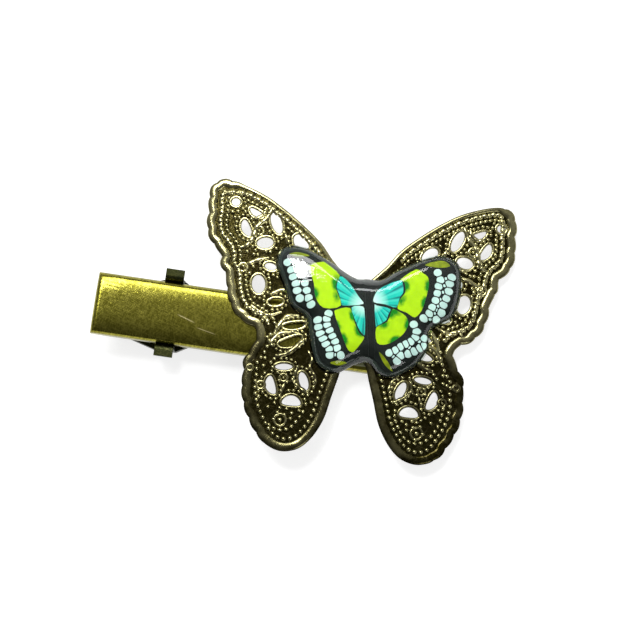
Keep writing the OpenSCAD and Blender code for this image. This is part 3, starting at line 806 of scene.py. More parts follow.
def build_clay_group():
    """The faint uneven tone of kneaded clay, and its small press marks."""
    group, given, out = new_group(
        "Kneaded clay",
        (("Vector", "Vector", None), ("Swirl size", "Float", 0.8)),
        (("Swirl", "Float"), ("Speck", "Float")),
    )
    bend = add(group, "TexNoise", None, Vector=given["Vector"], Scale=0.5, Detail=1.0).outputs["Color"]
    moved = add(group, "VectorMath", {"operation": "ADD"})
    put(group, moved.inputs[0], given["Vector"])
    put(group, moved.inputs[1], bend)
    swirl = grain_of(group, moved.outputs[0], given["Swirl size"], 3.0)
    speck = grain_of(group, given["Vector"], 9.0, 2.0)
    put(group, out["Swirl"], fit(group, swirl, 0.3, 0.7))
    put(group, out["Speck"], fit(group, speck, 0.55, 0.75))


def bump(tree, height, strength, distance):
    return add(tree, "Bump", None, Height=height, Strength=strength, Distance=distance).outputs[0]


def long_scratch(tree, place, start, end, width):
    """A mask of one thin straight scratch between two places, in millimetres."""
    run = Vector((end[0] - start[0], end[1] - start[1]))
    turn = math.atan2(run.y, run.x)
    middle = ((start[0] + end[0]) / 2, (start[1] + end[1]) / 2, 0)
    laid = add(tree, "Mapping", {"vector_type": "TEXTURE"}, Vector=place, Location=middle,
               Rotation=(0, 0, turn))
    parts = add(tree, "SeparateXYZ", None, Vector=laid.outputs[0]).outputs
    across = fit(tree, calc(tree, "ABSOLUTE", parts["Y"]), width * 0.4, width, 1, 0)
    along = fit(tree, calc(tree, "ABSOLUTE", parts["X"]), run.length * 0.3, run.length * 0.5, 1, 0)
    return calc(tree, "MULTIPLY", across, along)


# The two long scratches on the top plate: start, end and width
LONG_SCRATCHES = (
    ((-15.32, -2.1), (-12.87, -2.9), 0.09),
    ((-12.67, -3.45), (-10.02, -4.0), 0.07),
)


def brushed_bronze(metal):
    """Antique bronze plating, scratched in all directions by handling."""
    material, tree, shader = new_material("brushed_bronze", 1.0)
    place = millimetres(tree)
    scratches = use_group(tree, "Hairline scratches", Vector=place, Fineness=3.2, Amount=0.8)
    patina = use_group(tree, "Patina", Vector=place, Cloud_size=0.33, Spot_size=3.0)
    bright = tuple(metal.bronze)
    gold = tuple(min(1, 1.2 * v) for v in bright)
    tone = mix(tree, scratches["Weave"], tint(112, 108, 34), bright)
    tone = mix(tree, scaled(tree, patina["Cloud"], 0.4), tone, tint(124, 120, 40))
    tone = mix(tree, scaled(tree, patina["Spots"], 0.2), tone, tuple(metal.patina))
    tone = mix(tree, scaled(tree, scratches["Mask"], 0.4), tone, gold)
    marks = calc(tree, "MAXIMUM", *(long_scratch(tree, place, *one) for one in LONG_SCRATCHES))
    tone = mix(tree, marks, tone, tint(236, 222, 160))
    rough = fit(tree, scratches["Haze"], 0.3, 0.7, 0.17, 0.25)
    grain = calc(tree, "ADD", scaled(tree, scratches["Haze"], 0.6), scratches["Mask"])
    surface(tree, shader, tone, rough, bump(tree, grain, 0.12, 0.00002))
    return material


def dark_bronze(metal):
    """The darker satin plating of the lower arm and the rivet."""
    material, tree, shader = new_material("dark_bronze", 1.0)
    place = millimetres(tree)
    scratches = use_group(tree, "Hairline scratches", Vector=place, Fineness=2.4, Amount=0.5)
    patina = use_group(tree, "Patina", Vector=place, Cloud_size=0.6, Spot_size=4.0)
    tone = mix(tree, patina["Cloud"], tuple(metal.lower), tint(34, 38, 22))
    tone = mix(tree, scaled(tree, scratches["Mask"], 0.35), tone, tint(120, 116, 74))
    rough = fit(tree, scratches["Haze"], 0.3, 0.7, 0.3, 0.5)
    surface(tree, shader, tone, rough, bump(tree, scratches["Haze"], 0.3, 0.00002))
    return material


def stamped_bronze(metal):
    """Patina with painted shade in the hollows and worn gold on the high points, by the piece's own relief.
    """
    material, tree, shader = new_material("stamped_bronze", 1.0)
    place = millimetres(tree)
    patina = use_group(tree, "Patina", Vector=place, Cloud_size=0.45, Spot_size=4.5)
    scratches = use_group(tree, "Hairline scratches", Vector=place, Fineness=4.0, Amount=0.6)
    relief = attribute(tree, "relief")
    # Low relief takes patina and painted shade, high relief takes worn bronze
    rubbed_and_unshaded = fit(tree, calc(tree, "ADD", relief, scaled(tree, patina["Cloud"], 0.18)), 0.25, 1.0)
    tone = mix(tree, rubbed_and_unshaded, tuple(metal.patina), tuple(metal.rubbed_and_unshaded))
    tone = mix(tree, scaled(tree, patina["Spots"], 0.35), tone, tint(44, 38, 10))
    tone = mix(tree, scaled(tree, scratches["Mask"], 0.15), tone, tint(214, 200, 140))
    rough = fit(tree, scratches["Haze"], 0.3, 0.7, 0.1, 0.22)
    surface(tree, shader, tone, rough, bump(tree, scratches["Haze"], 0.3, 0.00004))
    return material


def drawn_wire(metal):
    """Spring wire with its lengthways drawing marks."""
    material, tree, shader = new_material("drawn_wire", 1.0)
    place = millimetres(tree)
    haze = use_group(tree, "Hairline scratches", Vector=place, Fineness=5.0, Amount=0.5)
    tone = mix(tree, haze["Haze"], tuple(metal.steel), tint(96, 92, 80))
    rough = fit(tree, haze["Haze"], 0.3, 0.7, 0.22, 0.42)
    surface(tree, shader, tone, rough, bump(tree, haze["Mask"], 0.3, 0.00001))
    return material


def cured_glue(metal):
    """Clear glue that has yellowed a little, with small bubbles."""
    material, tree, shader = new_material("cured_glue")
    place = millimetres(tree)
    clay = use_group(tree, "Kneaded clay", Vector=place, Swirl_size=1.2)
    tone = mix(tree, clay["Swirl"], tuple(metal.glue), tint(64, 68, 44))
    surface(tree, shader, tone, 0.3, bump(tree, clay["Speck"], 0.3, 0.00005))
    shader.inputs["Subsurface Weight"].default_value = 0.3
    shader.inputs["Subsurface Radius"].default_value = (0.0006, 0.0005, 0.0003)
    return material


# Each clay's colour property, its second tone, the size of its swirls and the tone of its specks
CLAY_TONES = {
    "black_clay": ("black", tint(24, 28, 26), 0.7, tint(34, 38, 36)),
    "edge_clay": ("edge", tint(38, 45, 42), 0.6, tint(70, 80, 74)),
    "white_clay": ("white", tint(196, 228, 224), 1.4, tint(240, 250, 250)),
    "olive_clay": ("olive", tint(112, 126, 12), 1.6, tint(160, 170, 30)),
    "lime_clay": ("lime", tint(172, 212, 0), 0.9, tint(206, 236, 10)),
    "turquoise_clay": ("turquoise", tint(30, 204, 190), 1.1, tint(60, 216, 204)),
}


def clay_finish(name, colours):
    """Baked clay in two close tones, with small specks."""
    own, dark, swirl_size, speck = CLAY_TONES[name]
    material, tree, shader = new_material(name)
    place = millimetres(tree)
    clay = use_group(tree, "Kneaded clay", Vector=place, Swirl_size=swirl_size)
    tone = mix(tree, clay["Swirl"], tuple(getattr(colours, own)), dark)
    tone = mix(tree, scaled(tree, clay["Speck"], 0.35), tone, speck)
    rough = fit(tree, clay["Speck"], 0, 1, 0.42, 0.55)
    surface(tree, shader, tone, rough, bump(tree, clay["Speck"], 0.2, 0.00002))
    shader.inputs["Specular IOR Level"].default_value = 0.05
    return material, tree, shader, tone


def lime_clay(colours):
    """Lime panels with soft green blotches along their edges."""
    material, tree, shader, tone = clay_finish("lime_clay", colours)
    place = millimetres(tree)
    ragged = calc(tree, "SUBTRACT", grain_of(tree, place, 1.8, 3.0), 0.5)
    spread = calc(tree, "ADD", attribute(tree, "blotch"), scaled(tree, ragged, 0.4))
    tone = mix(tree, fit(tree, spread, 0.26, 0.66), tone, tuple(colours.green))
    put(tree, shader.inputs["Base Color"], tone)
    return material


def turquoise_clay(colours):
    """Fans that pale to mint at the root, with darker folds that spread from it, and a painted highlight
    along one side of each fold.
    """
    material, tree, shader, tone = clay_finish("turquoise_clay", colours)
    reach = attribute(tree, "fan_reach")
    angle = attribute(tree, "fan_angle")
    turn = scaled(tree, angle, FAN_FOLDS * 2 * math.pi)
    fold = fit(tree, calc(tree, "SINE", turn), 0.45, 1.0)
    # Painted highlight along one side of each fold, as if the flat slice were folded and lit
    fold_painted_highlight = fit(tree, calc(tree, "SINE", calc(tree, "ADD", turn, 1.9)), 0.3, 1.0)
    away = fit(tree, reach, 0.3, 0.7)
    tone = mix(tree, scaled(tree, scaled(tree, fold, away), 0.9), tone, tint(8, 112, 118))
    tone = mix(tree, scaled(tree, fold_painted_highlight, 0.3), tone, tint(110, 232, 220))
    tone = mix(tree, fit(tree, reach, 0.14, 0.5, 1, 0), tone, tuple(colours.mint))
    put(tree, shader.inputs["Base Color"], tone)
    return material


def clear_resin(colours):
    """Clear casting resin, a little uneven, that lets the lamps' light through to the clay."""
    material, tree, shader = new_material("clear_resin")
    place = millimetres(tree)
    cloud = grain_of(tree, place, 0.7, 2.0)
    tone = mix(tree, cloud, tuple(colours.resin), tint(214, 226, 220))
    rough = fit(tree, cloud, 0.3, 0.8, 0.015, 0.07)
    ripple = grain_of(tree, place, 1.3, 3.0, 0.6)
    surface(tree, shader, tone, rough, bump(tree, ripple, 0.2, 0.0001))
    shader.inputs["Transmission Weight"].default_value = 1
    shader.inputs["IOR"].default_value = 1.5
    lamp = add(tree, "LightPath").outputs["Is Shadow Ray"]
    through = add(tree, "BsdfTransparent", None, Color=(0.93, 0.96, 0.94, 1))
    both = tree.nodes.new("ShaderNodeMixShader")
    put(tree, both.inputs[0], lamp)
    put(tree, both.inputs[1], shader.outputs[0])
    put(tree, both.inputs[2], through.outputs[0])
    put(tree, tree.nodes["Material Output"].inputs["Surface"], both.outputs[0])
    return material


# What makes each material, from the metal's or the clay's properties
METALS = {
    "brushed_bronze": brushed_bronze,
    "dark_bronze": dark_bronze,
    "stamped_bronze": stamped_bronze,
    "drawn_wire": drawn_wire,
    "cured_glue": cured_glue,
}
CLAYS = {
    "lime_clay": lime_clay,
    "turquoise_clay": turquoise_clay,
    "clear_resin": clear_resin,
}
FINISHES = {}


def finish_of(name):
    """Each material is made once, when its first piece asks for it."""
    if not FINISHES:
        build_scratch_group()
        build_patina_group()
        build_clay_group()
    if name not in FINISHES:
        scene = bpy.context.scene
        if name in METALS:
            FINISHES[name] = METALS[name](scene.hair_clip_metal)
        elif name in CLAYS:
            FINISHES[name] = CLAYS[name](scene.hair_clip_clay)
        else:
            FINISHES[name] = clay_finish(name, scene.hair_clip_clay)[0]
    return FINISHES[name]


# ---- Clip ----
class Piece(bpy.types.Operator):
    """What the operators of the pieces share"""
    bl_options = {"REGISTER", "UNDO"}

    def execute(self, context):
        self.build(context.scene.hair_clip_metal, context.scene.hair_clip_clay)
        return {"FINISHED"}


class HAIRCLIP_OT_upper_arm(Piece):
    """Folded upper arm, with its top plate a little crowned by the press"""
    bl_idname = "hairclip.upper_arm"
    bl_label = "Upper arm"

    # How the plate falls away from its middle line, by the square and the fourth power of the distance
    crown = 0.006
    roll = 0.0014
    # Steps of the cuts along and across the plate
    cuts = (2.0, 0.25)

    def build(self, metal, clay):
        arm = from_cad("upper_arm", "top_plate", metal.edge_bevel)
        arm.data.transform(CLIP_TO_ROW.inverted())
        grid_cut(arm, *self.cuts)
        points = coords(arm)
        points[:, 2] -= self.crown * points[:, 1] ** 2 + self.roll * points[:, 1] ** 4
        set_coords(arm, points)
        arm.data.transform(CLIP_TO_ROW)
        finish(arm, finish_of("brushed_bronze"), UPPER, ("upper_arm",), 32)


class HAIRCLIP_OT_lower_arm(Piece):
    """Lower arm with its lever, ears and teeth"""
    bl_idname = "hairclip.lower_arm"
    bl_label = "Lower arm"

    def build(self, metal, clay):
        arm = from_cad("lower_arm", "bottom_jaw", metal.edge_bevel)
        finish(arm, finish_of("dark_bronze"), LOWER, ("lower_arm",), 32)


class HAIRCLIP_OT_rivet(Piece):
    """Hinge pin with a flat shank and a domed head at each end"""
    bl_idname = "hairclip.rivet"
    bl_label = "Hinge rivet"

    shank_r = 0.6
    head_r = 0.9
    head_t = 0.35
    # Each step of the head's dome: its share of the height, and its width against the step below
    head_steps = ((0.4, 1.0), (0.35, 0.86), (0.25, 0.62))

    def build(self, metal, clay):
        deselect()
        bpy.ops.mesh.primitive_cylinder_add(vertices=32, radius=self.shank_r, depth=2 * EAR_FACE,
                                            location=(HINGE_X, 0, -PIN_DROP), rotation=(math.pi / 2, 0, 0))
        rivet = bpy.context.object
        rivet.name = "hinge_rivet"
        bpy.ops.object.transform_apply(location=True, rotation=True, scale=True)
        for side in (1, -1):
            edit(rivet)
            bpy.ops.mesh.select_all(action="DESELECT")
            leave()
            for face in rivet.data.polygons:
                face.select = face.normal.y * side > 0.9
            bpy.ops.object.mode_set(mode="EDIT")
            bpy.ops.mesh.select_mode(type="FACE")
            wide = self.head_r / self.shank_r
            centre = (HINGE_X, side * EAR_FACE, -PIN_DROP)
            bpy.ops.mesh.inset(thickness=0.001, depth=0)
            bpy.ops.transform.resize(value=(wide, 1, wide), center_override=centre)
            for rise, width in self.head_steps:
                bpy.ops.mesh.extrude_region_move(
                    TRANSFORM_OT_translate={"value": (0, side * self.head_t * rise, 0)})
                bpy.ops.transform.resize(value=(width, 1, width), center_override=centre)
            leave()
        edit(rivet)
        bpy.ops.mesh.normals_make_consistent(inside=False)
        leave()
        seat(rivet, "clip")
        finish(rivet, finish_of("dark_bronze"), LOWER, ("hinge_pin",))


class HAIRCLIP_OT_spring(Piece):
    """Torsion spring with a leg under each arm"""
    bl_idname = "hairclip.spring"
    bl_label = "Torsion spring"

    wire_d = 0.6
    coil_r = 1.25
    turns = 4.5
    pitch = 0.66
    leg = 5.2
    steps = 24
    # The lever's drop over its length, and the play left between it and the wire
    lever_drop = 1.6
    lever_run = 7.4
    play = 0.04

    def build(self, metal, clay):
        half = self.pitch * self.turns / 2
        count = int(self.turns * self.steps)
        lever_slope = math.atan2(self.lever_drop, self.lever_run)
        low = -self.lever_drop + self.wire_d / 2 / math.cos(lever_slope) + self.play
        high = PIN_DROP - SHEET_T - self.wire_d / 2 - self.play
        path = [(-self.leg, -half, low - self.leg * math.tan(lever_slope))]
        for i in range(count + 1):
            angle = 2 * math.pi * i / self.steps - math.pi / 2
            path.append((self.coil_r * math.cos(angle), self.pitch * i / self.steps - half,
                         self.coil_r * math.sin(angle)))
        path.append((-self.leg, half, high))
        path = [(x + HINGE_X, y, z - PIN_DROP) for x, y, z in path]
        spring = tube("wire_spring", path, self.wire_d / 2, sides=3)
        seat(spring, "clip")
        finish(spring, finish_of("drawn_wire"), None, ("torsion_spring",), 50)
        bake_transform(spring)


class HAIRCLIP_OT_glue(Piece):
    """Glue squeezed out between the top plate and the filigree"""
    bl_idname = "hairclip.glue"
    bl_label = "Glue"

    # Reach from the filigree's middle to the thumb end and to the nose, and half the width
    back = 7.0
    front = 5.3
    half = 3.4
    # How far it goes into the filigree, and down past the top plate's face
    overlap = 0.05
    sink = 0.3
    steps = 72
    corner = 0.35
    uneven = 0.12
    # The rounded edge's drop and width
    edge_drop = 0.12
    edge_w = 0.32

    def filled(self, share):
        """A circle's cosine or sine, filled out towards a rounded rectangle."""
        return np.sign(share) * np.abs(share) ** self.corner

    def build(self, metal, clay):
        turn = np.arange(self.steps) * 2 * math.pi / self.steps
        middle = FIL_X + (self.front - self.back) / 2
        x = middle + (self.front + self.back) / 2 * self.filled(np.cos(turn))
        y = self.half * self.filled(np.sin(turn))
        edge = np.stack((x, y), 1)
        edge = counter_clockwise(edge) + self.uneven * wobble(edge, 0.6, 3)[:, None]
        pad = slab("glue_pad", edge, -self.sink, FIL_Z + self.overlap, (0.12, 0.2))
        grid_cut(pad, 0.8, 0)
        points = coords(pad)
        flat = turned(points[:, :2] - (FIL_X, FIL_Y), -FIL_TURN)
        dome = np.sqrt((DOME_R + FIL_Z + self.overlap) ** 2 - flat[:, 0] ** 2) - DOME_R
        gap = edge_gap(points, edge)
        drop = self.edge_drop * np.clip(1 - gap / self.edge_w, 0, 1)
        points[:, 2] = np.where(points[:, 2] > 0, dome - drop, -self.sink)
        set_coords(pad, points)
        seat(pad, "clip")
        finish(pad, finish_of("cured_glue"), UPPER, ("adhesive_pad",), 60)


# ---- Filigree ----
class HAIRCLIP_OT_filigree(Piece):
    """Stamped butterfly: a pierced sheet with a smooth rim, ropes, ridges, rings and beads"""
    bl_idname = "hairclip.filigree"
    bl_label = "Filigree butterfly"

    # Heights of the sheet's faces and of the raised pieces' middles
    sheet_low = 0.93
    sheet_high = 1.21
    ridge_z = 1.26
    rim_z = 1.17
    sheet_step = 1.1
    rim_step = 0.3
    scallop_h = 0.22
    scallop_len = 2.1
    rope_step = 0.16
    rope_wave = 1.15
    # The raised pieces' distance inside the outline, and how much less it is along the top edges
    rope_in = (1.58, 0.62)
    upper_beads_in = (2.35, 0.72)
    lower_beads_in = 1.55
    # The smallest distance of a bead from the outline, from an opening and from another bead
    bead_edge = 1.15
    bead_hole = 0.2
    bead_apart = 0.46

    def build(self, metal, clay):
        self.holes = all_holes()
        self.bead_r = metal.bead_d / MM / 2
        self.rope_r = metal.rope_d / MM / 2
        self.rim_w = metal.rim_w / MM
        parts = [self.sheet(), self.rim()]
        parts += self.wavy_rope()
        parts += self.ridges()
        # Painted shade on the lower wings and the right upper wing, lighter on the beads
        for part in parts:
            self.darken(part, 0.5)
        beads = self.beads(metal)
        self.darken(beads, 0.2)
        whole = joined(parts + [beads], "stamped_butterfly")
        seat(whole, "filigree")
        finish(whole, finish_of("stamped_bronze"), UPPER, ("filigree_butterfly",), 55)

    def darken(self, piece, share):
        """Painted shade: pushes the lower wings, and a little the right upper one, towards the patina
        colour.
        """
        points = coords(piece)
        values = np.empty(len(points), dtype=np.float32)
        piece.data.attributes["relief"].data.foreach_get("value", values)
        low = low_share(points)
        right = np.clip((points[:, 0] - 5) / 4, 0, 1)
        paint(piece, "relief", values * (1 - share * low - 0.3 * share * right))

    def sheet(self):
        sheet = slab("sheet", FIL_OUTLINE, self.sheet_low, self.sheet_high)
        cutters = [slab("hole", hole, self.sheet_low - 1, self.sheet_high + 1) for hole in self.holes]
        carve(sheet, joined(cutters, "holes"))
        grid_cut(sheet, self.sheet_step, self.sheet_step)
        points = coords(sheet)
        top = points[:, 2] > (self.sheet_low + self.sheet_high) / 2
        points[:, 2] += 0.04 * wobble(points, 0.5, 5)
        set_coords(sheet, points)
        # The sheet's top face lies lowest among the raised pieces: patina and painted shade
        paint(sheet, "relief", np.where(top, 0.06, 0.3))
        return sheet

    def shine(self, piece, low, high):
        """Height decides how far the patina and its painted shade give way to worn bronze."""
        points = coords(piece)
        z = points[:, 2]
        share = (z - z.min()) / max(1e-6, z.max() - z.min())
        paint(piece, "relief", low + (high - low) * share**1.3)

    def rim(self):
        path = spaced(counter_clockwise(FIL_OUTLINE), self.rim_step)[0]
        half = self.rim_w / 2 * (1 - 0.46 * top_edge(path))
        reach = np.arange(len(path)) * self.rim_step
        outer = (1 - top_edge(path)) * np.clip((np.abs(path[:, 0]) - 10) / 2, 0, 1)
        scallop = self.scallop_h * outer * np.abs(np.sin(reach * math.pi / self.scallop_len))
        rim = tube("rim", inset(path, half - 0.04 - scallop), half, closed=True, height=self.rim_z, sides=4)
        points = coords(rim)
        flat = 0.46 + 0.34 * top_share(points) - 0.14 * low_share(points)
        points[:, 2] = self.rim_z + (points[:, 2] - self.rim_z) * flat
        set_coords(rim, points)
        self.shine(rim, 0.2, 0.6)
        return rim

    def clear_of_holes(self, point, gap):
        return all(edge_gap(point, hole)[0] > gap and not inside(point, hole)[0] for hole in self.holes)

    def wavy_rope(self):
        """A rope that follows the upper wings inside the rim, swelling and waving as it goes."""
        parts = []
        depth, less = self.rope_in
        path, heading = spaced(inset(FIL_OUTLINE, depth - less * top_edge(FIL_OUTLINE)), self.rope_step)
        reach = np.arange(len(path)) * self.rope_step
        sway = 0.1 * np.sin(reach * 2 * math.pi / self.rope_wave)
        path = path + sway[:, None] * np.stack((-np.sin(heading), np.cos(heading)), 1)
        swell = self.rope_r * (1 + 0.28 * np.sin(reach * 2 * math.pi / (self.rope_wave / 2) + 1))
        upper = (path[:, 1] > -0.9) & (np.abs(path[:, 0]) > 4.5)
        for side in (1, -1):
            chosen = upper & (side * path[:, 0] > 0)
            run = self.longest_run(chosen)
            rope = tube("rope", path[run], swell[run], height=self.ridge_z, flat=0.85, sides=2)
            self.shine(rope, 0.45, 1)
            parts.append(rope)
        return parts

    def longest_run(self, chosen):
        """The indices of the longest stretch of chosen points, round the loop."""
        count = len(chosen)
        first = next(i for i in range(count) if not chosen[i])
        order = [(first + i) % count for i in range(count)]
        runs, run = [], []
        for i in order:
            if chosen[i]:
                run.append(i)
            elif run:
                runs.append(run)
                run = []
        runs.append(run)
        return max(runs, key=len)

    def ridges(self):
        parts = []
        for side in (1, -1):
            for width, points in FIL_RIDGES:
                line = smooth_line(flipped(points, side), 6)
                share = np.linspace(-1, 1, len(line))
                radii = self.rope_r * width * (1 - 0.45 * share**4)
                radii = radii * (1 + 0.12 * np.sin(np.arange(len(line)) * 1.1))
                parts.append(tube("ridge", line, radii, height=self.ridge_z - 0.02, flat=0.9))
            for x, y, radius in FIL_RINGS:
                if not self.clear_of_holes((side * x, y), radius * 0.6):
                    continue
                ring = oval(side * x, y, 2 * radius, 2 * radius, 0, 0, 18)
                parts.append(tube("ring", ring, self.rope_r * 0.72, closed=True, height=self.ridge_z - 0.02))
        for hole in self.holes:
            lip = inset(hole, -0.1)
            parts.append(tube("lip", lip, 0.22, closed=True, height=self.ridge_z - 0.08, flat=1.1))
        for part in parts:
            self.shine(part, 0.25, 0.95)
        return parts

    def beads(self, metal):
        """Beads in rows and in clusters, left out where they would crowd an edge or each other."""
        template = bead_template()
        spots = []
        row_gap = metal.bead_gap / MM
        rope_gap = metal.rope_gap / MM
        depth, less = self.upper_beads_in
        upper, heading = spaced(inset(FIL_OUTLINE, depth - less * top_edge(FIL_OUTLINE)), rope_gap)
        for (x, y), angle in zip(upper, heading):
            if y > -1.2 and abs(x) > 3 and (y > 0 or abs(x) > 8):
                spots.append((x, y, angle + 0.5, 1.25, 0.78))
        lower, heading = spaced(inset(FIL_OUTLINE, self.lower_beads_in), row_gap)
        for (x, y), angle in zip(lower, heading):
            if y < -1.8 and abs(x) > 1.5:
                spots.append((x, y, angle, 1.05, 0.95))
        for side in (1, -1):
            row, heading = spaced(smooth_line(flipped(FIL_INNER_ROW, side), 5), row_gap * 0.9, False)
            spots += [(x, y, angle, 1.1, 0.85) for (x, y), angle in zip(row, heading)]
            spots += [(side * x, y, x * 3 + y, 1.0, 0.9) for x, y in FIL_BEADS]
            for x, y, radius in FIL_RINGS:
                wide = 0.8 * radius / 0.55
                spots.append((side * x, y, 0, wide, wide))
        for hole in self.holes:
            row, heading = spaced(inset(hole, -0.55), rope_gap)
            spots += [(x, y, angle, 1.0, 0.8) for (x, y), angle in zip(row, heading)]
        made = []
        laid = np.full((1, 2), 99.0)
        for x, y, angle, length, width in spots:
            if edge_gap((x, y), FIL_OUTLINE)[0] < self.bead_edge:
                continue
            if not self.clear_of_holes((x, y), self.bead_hole):
                continue
            if np.linalg.norm(laid - (x, y), axis=1).min() < self.bead_apart:
                continue
            laid = np.vstack((laid, (x, y)))
            vary = 1 + 0.14 * noise.noise(Vector((x * 3.1, y * 3.1, 2)))
            r = self.bead_r * vary
            matrix = (Matrix.Translation((x, y, self.sheet_high - 0.04)) @ Matrix.Rotation(angle, 4, "Z")
                      @ Matrix.Diagonal((r * length, r * width, r * 1.15, 1)))
            made.append(copy_of(template, matrix))
        bpy.data.objects.remove(template)
        whole = joined(made, "beads")
        self.shine(whole, 0.2, 1)
        return whole


# ---- Clay ----
# Heights over the backing's underside, which lies on the filigree
BACKING_TOP = 0.5
CORE_FLOOR = -0.2
CLAY_EDGE = 0.95
CLAY_RISE = 0.7
CLAY_RISE_W = 1.6
INLAY_LIFT = 0.015
CELL_LIFT = 0.02
BODY_LIFT = 0.03
# Radii of the dome over the whole butterfly, and how far in from the edge it is all there
BOW_X = 160.0
BOW_Y = 70.0
BOW_W = 1.5
# Width of the resin's rounded shoulder
SHOULDER = 1.8
# Slices are made this high, and their tops are then laid on the dome. Cutters reach past both ends.
ROUGH_TOP = 3
CUT_LOW = -1
CUT_HIGH = 4
# Steps of the grid that lets a slice follow the dome
CLAY_STEP = 0.34
CELL_STEP = 0.5
BACKING_STEP = 0.8
RESIN_STEP = 0.42
# Area of the smallest white cell, in square millimetres
SMALLEST_CELL = 0.05


def bow(points, gap):
    """How far the pressed clay and its resin bend down away from the middle."""
    return (points[:, 0] ** 2 / BOW_X + points[:, 1] ** 2 / BOW_Y) / 2 * np.clip(gap / BOW_W, 0, 1)


def resin_height(points, dome_h):
    """Height of the resin over the filigree, from the distance to its edge."""
    gap = edge_gap(points, RESIN_OUTLINE)
    crown = dome_h * np.sin(math.pi / 2 * np.clip(gap / SHOULDER, 0, 1)) ** 0.8
    return crown - bow(points, gap) + 0.02 * wobble(points, 0.45, 11) * np.clip(gap / BOW_W, 0, 1)


def clay_height(points, border_w):
    """Height of the clay wings' top over the filigree."""
    gap = edge_gap(points, RESIN_OUTLINE)
    rise = np.clip((gap - border_w) / CLAY_RISE_W, 0, 1)
    return CLAY_EDGE + CLAY_RISE * (1 - (1 - rise) ** 2) - bow(points, gap)


def cutter(name, outline):
    return slab(name, outline, CUT_LOW, CUT_HIGH)


def layer(name, outline, border_w, lift, step=CLAY_STEP):
    """A slice of clay on the backing, whose top follows the wings' dome."""
    piece = slab(name, outline, BACKING_TOP, ROUGH_TOP)
    raise_top(piece, border_w, lift, step)
    return piece


def raise_top(piece, border_w, lift, step=CLAY_STEP):
    """Lays a slice's top on the wings' dome, lifted a little."""
    grid_cut(piece, step, step)
    points = coords(piece)
    top = points[:, 2] > ROUGH_TOP / 2
    points[top, 2] = clay_height(points[top], border_w) + lift
    set_coords(piece, points)


def over_backing(piece):
    """Lifts a piece drawn from the filigree's top face up to that height on the dome."""
    points = coords(piece)
    points[:, 2] += BACK_Z
    set_coords(piece, points)


def close_clay(piece, material, nodes, angle=35):
    """Seats and finishes a piece of the clay butterfly."""
    over_backing(piece)
    seat(piece, "clay")
    finish(piece, finish_of(material), UPPER, nodes, angle)


def cell_outlines(sites, clay):
    """White cells that crowd against each other, with small ones where four of them meet."""
    large = clay.cell_r / MM
    small = 0.4 * large
    centres = [(Vector(site), large) for site in sites]
    found = []
    for i, (a, _) in enumerate(centres):
        for b, _ in centres[i + 1:]:
            if 0.9 < (a - b).length < 1.75:
                middle = (a + b) / 2
                near = min((middle - c).length for c, _ in centres)
                if near > 0.56 and all((middle - other).length > 0.45 for other in found):
                    found.append(middle)
    centres += [(spot, small) for spot in found]
    outlines = []
    for i, (a, ra) in enumerate(centres):
        outline = oval(a.x, a.y, 2 * ra * 1.02, 2 * ra * 0.94, 40 * noise.noise(a.to_3d()), 0, 20)
        for j, (b, rb) in enumerate(centres):
            away = b - a
            if i == j or away.length > 1.3:
                continue
            reach = away.length / 2 + (ra * ra - rb * rb) / (2 * away.length) - clay.cell_gap / MM / 2
            unit = away.normalized()
            outline = cropped(outline, np.array(a + unit * reach), np.array(unit))
            if len(outline) < 3:
                break
        outline = distinct(outline)
        if len(outline) > 3 and area(outline) > SMALLEST_CELL:
            outlines.append(softened(distinct(softened(outline))))
    return outlines


def panel_outline(points, gap):
    return inset(smooth_loop(points, 3), gap)


class HAIRCLIP_OT_clay_base(Piece):
    """Backing slice of the clay butterfly and the strip of its body"""
    bl_idname = "hairclip.clay_base"
    bl_label = "Clay backing and body"

    # The gap between the body and each wing, and a length that reaches past the outline
    seam = 0.02
    strip_end = 12

    def build(self, metal, clay):
        skirt = clay.skirt_w / MM
        border = clay.border_w / MM
        backing = slab("clay_back", inset(RESIN_OUTLINE, skirt), 0, BACKING_TOP, (0.1, 0.12))
        grid_cut(backing, BACKING_STEP, BACKING_STEP)
        points = coords(backing)
        top = points[:, 2] > BACKING_TOP / 2
        gap = edge_gap(points, RESIN_OUTLINE) - skirt
        points[top, 2] = BACKING_TOP * (0.55 + 0.45 * np.clip(gap[top] / 0.22, 0, 1))
        set_coords(backing, points)
        close_clay(backing, "edge_clay", ("clay_backing",), 60)
        half = BODY_HALF - self.seam
        far = self.strip_end
        strip = np.array([(-half, -far), (half, -far), (half, far), (-half, far)])
        body = slab("clay_strip", strip, BACKING_TOP, ROUGH_TOP)
        carve(body, cutter("edge", inset(RESIN_OUTLINE, border)), "INTERSECT")
        raise_top(body, border, BODY_LIFT)
        close_clay(body, "black_clay", ("clay_body",))


